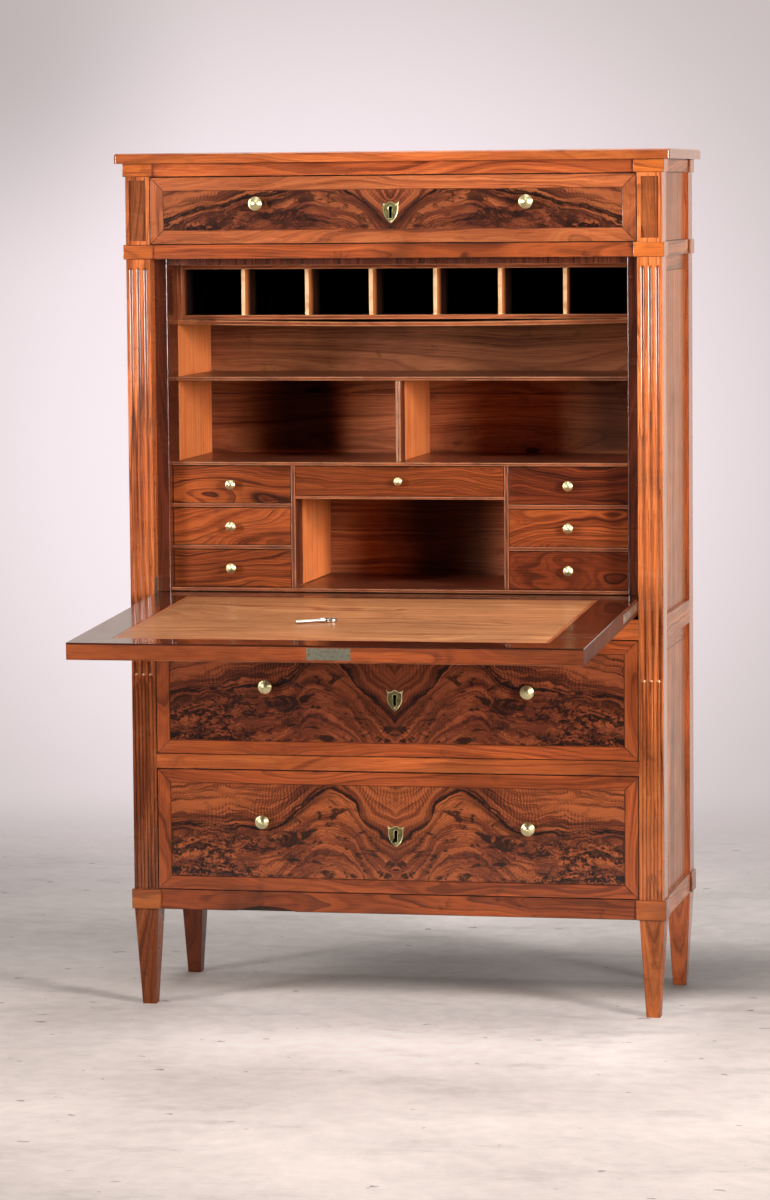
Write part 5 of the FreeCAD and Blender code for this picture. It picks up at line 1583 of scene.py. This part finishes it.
@dataclass
class Fall:
    """The fall front, built level about its pivot and turned down to where it rests.

    Attributes:
        half: Half its width.
        front: Where its front edge lies along Y from the pivot.
        tail: Where its rear edge lies.
        slope: How far it hangs below level, in degrees.
        pivot: Where the pivot stands.
        under: Height of its lower face over the pivot.
        upper: Height of its upper face.
        painted_shade: Painted shade across the writing surface, darkest on the left, as (place along X,
            depth) pairs where the surface is cut.
        painted_edge_shade: The same at its two ends.
        lock: Place of the lock along X, its half width, its depth and its half thickness.
        lock_screw: How far its screws stand from its middle.
        hinge_seat: Span of a hinge leaf's seat from the end of the board, along each axis.
        hinge_screws: Places of the leaves' screws along Y.
        hinge_screw: Radius and height of their heads.
    """

    half: float = 0.4345
    front: float = -0.607
    tail: float = 0.022
    slope: float = 2.8
    pivot: Triple = (0.0, FACE_Y + 0.0145, FALL_RAIL_TOP + 0.024)
    under: float = -0.0145
    upper: float = 0.0145
    banding: float = 0.024
    band_thickness: float = 0.002
    field_thickness: float = 0.001
    inner_layer: float = 0.003
    border: float = 0.065
    front_border: float = 0.055
    recess: float = 0.0003
    crossband: float = 0.007
    painted_shade: Pairs = ((-0.20, 0.34), (-0.05, 0.02), (0.12, 0.0))
    painted_edge_shade: Pairs = ((-0.37, 0.42), (0.37, 0.06))
    chamfer: float = 0.0065
    edge_soil: float = 0.45
    lock: tuple[float, float, float, float] = (0.011, 0.037, 0.064, 0.010)
    lock_screw: float = 0.0335
    keyhole_setback: float = 0.046
    hinge_seat: tuple[Pair, Pair, Pair] = ((-0.0025, 0.0025), (-0.1803, 0.0163), (-0.0083, 0.0083))
    hinge_screws: Triple = (-0.165, -0.112, -0.038)
    hinge_screw: Pair = (0.0042, 0.0007)
    lock_screw_head: Pair = (0.0022, 0.0005)

    def __post_init__(self) -> None:
        """Work out what several parts share: the open place, and the middle and half depth of the board."""
        self.place = at(*self.pivot) @ about("X", self.slope)
        self.middle = (self.tail + self.front) / 2
        self.deep = (self.tail - self.front) / 2

    def seats(self, tool: Piece) -> None:
        """Cutting shapes for the seats of the hinge leaves and the lock."""
        low, high = zip(*self.hinge_seat)
        for side in (-self.half, self.half):
            tool.block((side + low[0], *low[1:]), (side + high[0], *high[1:]))
        x, half, deep, thick = self.lock
        tool.block((x - half, self.front - 0.001, -thick), (x + half, self.front + deep, thick))

    def board(self) -> None:
        """Core with its lipped edges, outer field and bands."""
        piece = Piece("fall_board", [EDGE_WALNUT, FALL_BURR, BAND_WALNUT, END_WALNUT], "burr_walnut", "fall")
        core_low, core_high = self.under + self.band_thickness, self.upper - self.inner_layer
        piece.block((-self.half, self.front, core_low), (self.half, self.tail, core_high))
        piece.carve(self.seats)
        piece.soften(self.chamfer, 1,
                     lambda e: all(v.co.y > self.tail - NEAR and v.co.z < core_low + NEAR for v in e.verts))
        piece.soften(0.0005, which=lambda e: e.calc_length() > 0.05)
        piece.claim(Axis.X, 0, self.place)
        inset = self.banding
        piece.block((-self.half + inset, self.front + inset, core_low - self.field_thickness),
                    (self.half - inset, self.tail - inset, core_low))
        piece.claim(Axis.X_FLAT, 1, self.place, origin=(0, self.middle, 0))
        piece.frame((self.half, self.deep), [inset] * 4, self.band_thickness,
                    self.place @ at(0, self.middle, self.under), 2, pull=self.chamfer)
        piece.paint(3, lambda c: c.x > self.half - 0.001)
        piece.dirt_and_shade(lambda v: self.edge_soil * (v.x > self.half - 0.001 and v.y < FACE_Y - 0.5))
        piece.finish()

    def writing_side(self) -> None:
        """The mitred writing border and the writing surface inside a narrow crossband."""
        z = self.upper - self.inner_layer
        side, fore, edge = self.border, self.front_border, self.crossband
        piece = Piece("writing_border", [BORDER_WALNUT], "writing_veneer", "fall")
        piece.frame((self.half, self.deep), (fore, side, side, side), self.inner_layer,
                    self.place @ at(0, self.middle, z), 0, 0.0005)
        piece.finish()
        piece = Piece("writing_surface", [WRITING_VENEER, CROSSBAND], "writing_veneer", "fall")
        left, low, high = side - self.half, self.front + fore, self.tail - side
        piece.block((left + edge, low + edge, z), (-left - edge, high - edge, self.upper - self.recess))
        piece.soften(0.0003)
        for x, _ in self.painted_shade:
            piece.slice((x, 0, 0), (1, 0, 0))
        piece.claim(Axis.X_FLAT, 0, self.place, origin=(0, self.middle, 0.06))
        # Painted shade across the writing surface, from the pairs.
        piece.dirt_and_shade(lambda v: min((abs(v.x - x), dark) for x, dark in self.painted_shade + self.painted_edge_shade)[1])
        piece.frame((-left, (high - low) / 2), [edge] * 4, self.inner_layer - self.recess,
                    self.place @ at(0, (high + low) / 2, z), 1, 0.0003)
        piece.finish()

    def fittings(self) -> None:
        """Lock, bolt, hinge leaves with their screws, pivots and key."""
        piece = Piece("fall_lock", [LOCK_PLATE, OLD_BRASS, BLACK_IRON_AND_PAINTED_SHADE], "brass", "fall")
        piece.adopt("fall_lock", Axis.X, 0, 0.0004, long_only=0.006)
        # A near-black patch where the fall's keyhole is: painted shade in the hole.
        y = self.front + self.keyhole_setback
        piece.board((-0.006, y - 0.0125, self.under + 0.0006), (0.006, y + 0.0125, self.under + 0.0015),
                    Axis.X, 2, 0.0001, self.place)
        for x in (self.lock[0] - self.lock_screw, self.lock[0] + self.lock_screw):
            piece.dome(*self.lock_screw_head, self.place @ at(x, self.front, 0) @ TO_FRONT, 1)
        piece.finish()
        dress_node("fall_bolt", LOCK_PLATE, "brass", Axis.X, 0.0003, body="fall_bolt")
        piece = Piece("fall_hinge_plates", [STEEL, BRASS], "steel", "fall", "fall_hinge_dressed")
        piece.adopt("fall_hinge_plates", Axis.Y, 0, 0.0004, long_only=0.004)
        for side in (-1, 1):
            for y in self.hinge_screws:
                screw = self.place @ at(side * self.half, y, 0) @ about("Y", side * 90)
                piece.dome(*self.hinge_screw, screw, 1)
        piece.finish()
        dress_node("post_hinge_plates", LOCK_PLATE, "steel", Axis.Z, 0.0004, 0.004, name="post_hinge_dressed")
        dress_node("key", STEEL, "steel", Axis.X, 0.0003, 0.004, body="fall")

    def build(self) -> None:
        """Build the fall."""
        self.board()
        self.writing_side()
        self.fittings()


# ------------------------------------------------------------------ studio


@dataclass
class Studio:
    """A pale floor that fades into a pale room, soft lamps and the camera."""

    floor_half: float = 7.0
    camera_place: Triple = (1.60536, -7.73066, 1.45969)
    yaw: float = 11.69
    pitch: float = 5.17
    roll: float = -0.51
    lens: float = 136.45

    def floor(self) -> None:
        """A mottled pale floor with painted light falloff, a painted shadow under the object and a painted
        pool of light in front of it, fading out behind it.
        """
        made, g, surface = principled("Studio floor")
        place = g.object_place()
        x, y, _ = g.parts(place)
        mottle = g.noise(place, scale=1.6, detail=6, rough=0.62)
        fine = g.noise(place, scale=26.0, detail=6, rough=0.7)
        # Painted light falloff: the colour darkens from the front to behind the object and lightens again
        # further back.
        near = g.mix(g.step(y, -1.3, 0.7), (0.81, 0.700, 0.642), (0.66, 0.600, 0.570))
        near = g.mix(g.step(y, 0.8, 1.3), near, (0.84, 0.76, 0.73))
        stains = g.step(g.noise(place, (1, 2.2, 1), scale=3.4, detail=8, rough=0.72), 0.50, 0.70, 1.0, 0.80)
        specks = g.step(g.noise(place, (1, 1.6, 1), scale=19.0, detail=3), 0.70, 0.72, 1.0, 0.45)
        tone = (g.step(mottle, 0.3, 0.7, 0.86, 1.07) + (fine - 0.5) * 0.40) * stains * specks
        edge = y + (mottle - 0.5) * 0.12
        # Painted shadow of the case on the floor beneath it.
        under = g.step(edge, 0.28, 0.46) * g.step(edge, 1.0, 0.62)
        under = under * (g.step(x, -0.48, 0.02) * g.step(x, 0.95, 0.5))
        tone = tone * (1.0 - under * 0.63)
        # A painted pool of light in front of the object, seen by the camera only.
        painted_light_pool = g.step(edge, 0.36, 0.22) * g.step(y, -0.75, -0.10)
        painted_light_pool = painted_light_pool * (g.step(x, -0.62, -0.25) * g.step(x, 0.66, 0.42))
        seen = Wire(g, g.node("ShaderNodeLightPath").outputs["Is Camera Ray"])
        away = g.math("LENGTH", g.place(x * 0.8, y))
        g.fill(surface, Base_Color=g.dimmed(near, tone), Roughness=0.75, Alpha=g.step(away, 3.2, 1.2),
               Emission_Color=g.dimmed((1.0, 0.92, 0.88), tone), Emission_Strength=painted_light_pool * seen * 0.30)
        mesh = bpy.data.meshes.new("studio_floor")
        bm = bmesh.new()
        bmesh.ops.create_grid(bm, x_segments=2, y_segments=2, size=self.floor_half)
        bm.to_mesh(mesh)
        bm.free()
        mesh.materials.append(made)
        in_scene("studio_floor", mesh)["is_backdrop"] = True

    def room(self) -> None:
        """A pale world: bright to the camera and in reflections, soft on the object."""
        world = bpy.data.worlds.new("Studio room")
        bpy.context.scene.world = world
        world.use_nodes = True
        g = Graph(world.node_tree)
        way = Wire(g, g.node("ShaderNodeTexCoord").outputs["Generated"])
        _, ahead, _ = g.parts(way)
        # Seen by the camera, the backdrop is painted brightest behind the object, with painted falloff to a
        # darker rim and a darker patch up to the left.
        off = g.math("DISTANCE", way, (-0.2105, 0.9765, -0.055))
        painted_backdrop_falloff = g.mix(g.step(off, 0.045, 0.135), (0.96, 0.845, 0.885), (0.60, 0.53, 0.525))
        corner = g.math("DISTANCE", way, (-0.285, 0.958, 0.03))
        painted_backdrop_falloff = g.mix(g.step(corner, 0.055, 0.0, 0.0, 0.55), painted_backdrop_falloff, (0.42, 0.37, 0.37))
        rays = g.node("ShaderNodeLightPath").outputs
        camera, through, glossy = (Wire(g, rays[f"Is {kind} Ray"])
                                   for kind in ("Camera", "Transmission", "Glossy"))
        seen = g.math("MAXIMUM", camera, through)
        mirrored = glossy * g.step(ahead, -0.75, 0.35, 0.05, 0.82)
        strength = g.math("MAXIMUM", g.math("MAXIMUM", seen, mirrored), 0.06)
        g.fill(world.node_tree.nodes["Background"], Color=g.mix(seen, (0.88, 0.75, 0.67), painted_backdrop_falloff),
               Strength=strength)

    def lamps(self) -> None:
        """Soft boxes at the two front corners, over the object, behind it and over the floor in front."""
        for name, place, aim, size, power, colour, spread in (
                ("key", (3.15, -2.1, 1.6), (0.0, 0.1, 1.15), (0.85, 1.3), 30, (1.0, 0.97, 0.95), 70),
                ("fill", (-2.6, -2.35, 1.6), (0.0, 0.1, 1.3), (0.6, 1.2), 14, (1.0, 0.97, 0.95), 62),
                ("over", (0.1, 0.35, 3.6), (0.1, 0.35, 0.0), (2.0, 1.2), 48, (1, 1, 1), 180),
                ("back", (0.1, 2.7, 2.7), (0.1, 1.1, 0.0), (2.0, 0.8), 7, (1, 1, 1), 100),
                ("floor", (0.2, -2.1, 3.3), (0.2, -1.1, 0.0), (1.6, 0.8), 15.5, (1, 1, 1), 80)):
            data = bpy.data.lights.new(name + "_lamp", "AREA")
            data.shape, data.size, data.size_y = "RECTANGLE", *size
            data.energy, data.color, data.spread = power, colour, math.radians(spread)
            made = in_scene(name + "_lamp", data)
            made.location = place
            made.rotation_euler = (Vector(aim) - Vector(place)).to_track_quat("-Z", "Y").to_euler()

    def camera(self) -> None:
        """The camera at its measured place."""
        data = bpy.data.cameras.new("camera")
        data.lens, data.sensor_width, data.sensor_fit = self.lens, 36.0, "AUTO"
        made = in_scene("camera", data)
        made.matrix_world = (at(*self.camera_place) @ about("Z", self.yaw) @ about("X", 90 - self.pitch)
                             @ about("Z", self.roll))
        bpy.context.scene.camera = made

    def build(self) -> None:
        """Set up the studio."""
        self.floor()
        self.room()
        self.lamps()
        self.camera()
        bpy.context.scene.view_settings.view_transform = "Standard"


def write_sizes() -> None:
    """Put the CAD box and the dressed model's box side by side; the result is not kept."""
    boxes = {"cad": CAD_BOX, "visual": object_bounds()}
    {name: [list(low), list(high)] for name, (low, high) in boxes.items()}


def main() -> None:
    """Build the studio and the cabinet."""
    logging.basicConfig(level=logging.INFO, format="%(name)s: %(message)s")
    Studio().build()
    Carcass().build()
    Compartment().build()
    LargeDrawer("frieze_drawer", FRIEZE_BURR, BAND_WALNUT, ((-0.24, 0.0165), (0.243, 0.0165))).build()
    LargeDrawer("middle_drawer", MIDDLE_BURR, knobs=((-0.232, 0.021), (0.24, 0.0175))).build()
    LargeDrawer("lower_drawer", LOWER_BURR).build()
    for side, outer, inner in (("left", FIGURED_WALNUT, STRAIGHT_WALNUT),
                               ("right", DARK_FIGURED_WALNUT, FIGURED_WALNUT)):
        for row, finish in (("bottom", outer), ("middle", inner), ("top", outer)):
            SmallDrawer(f"{side}_{row}_drawer", finish).build()
    SmallDrawer("centre_drawer", FIGURED_WALNUT, Knob(0.0075, 0.015)).build()
    Fall().build()
    write_sizes()


if __name__ == "__main__":
    main()
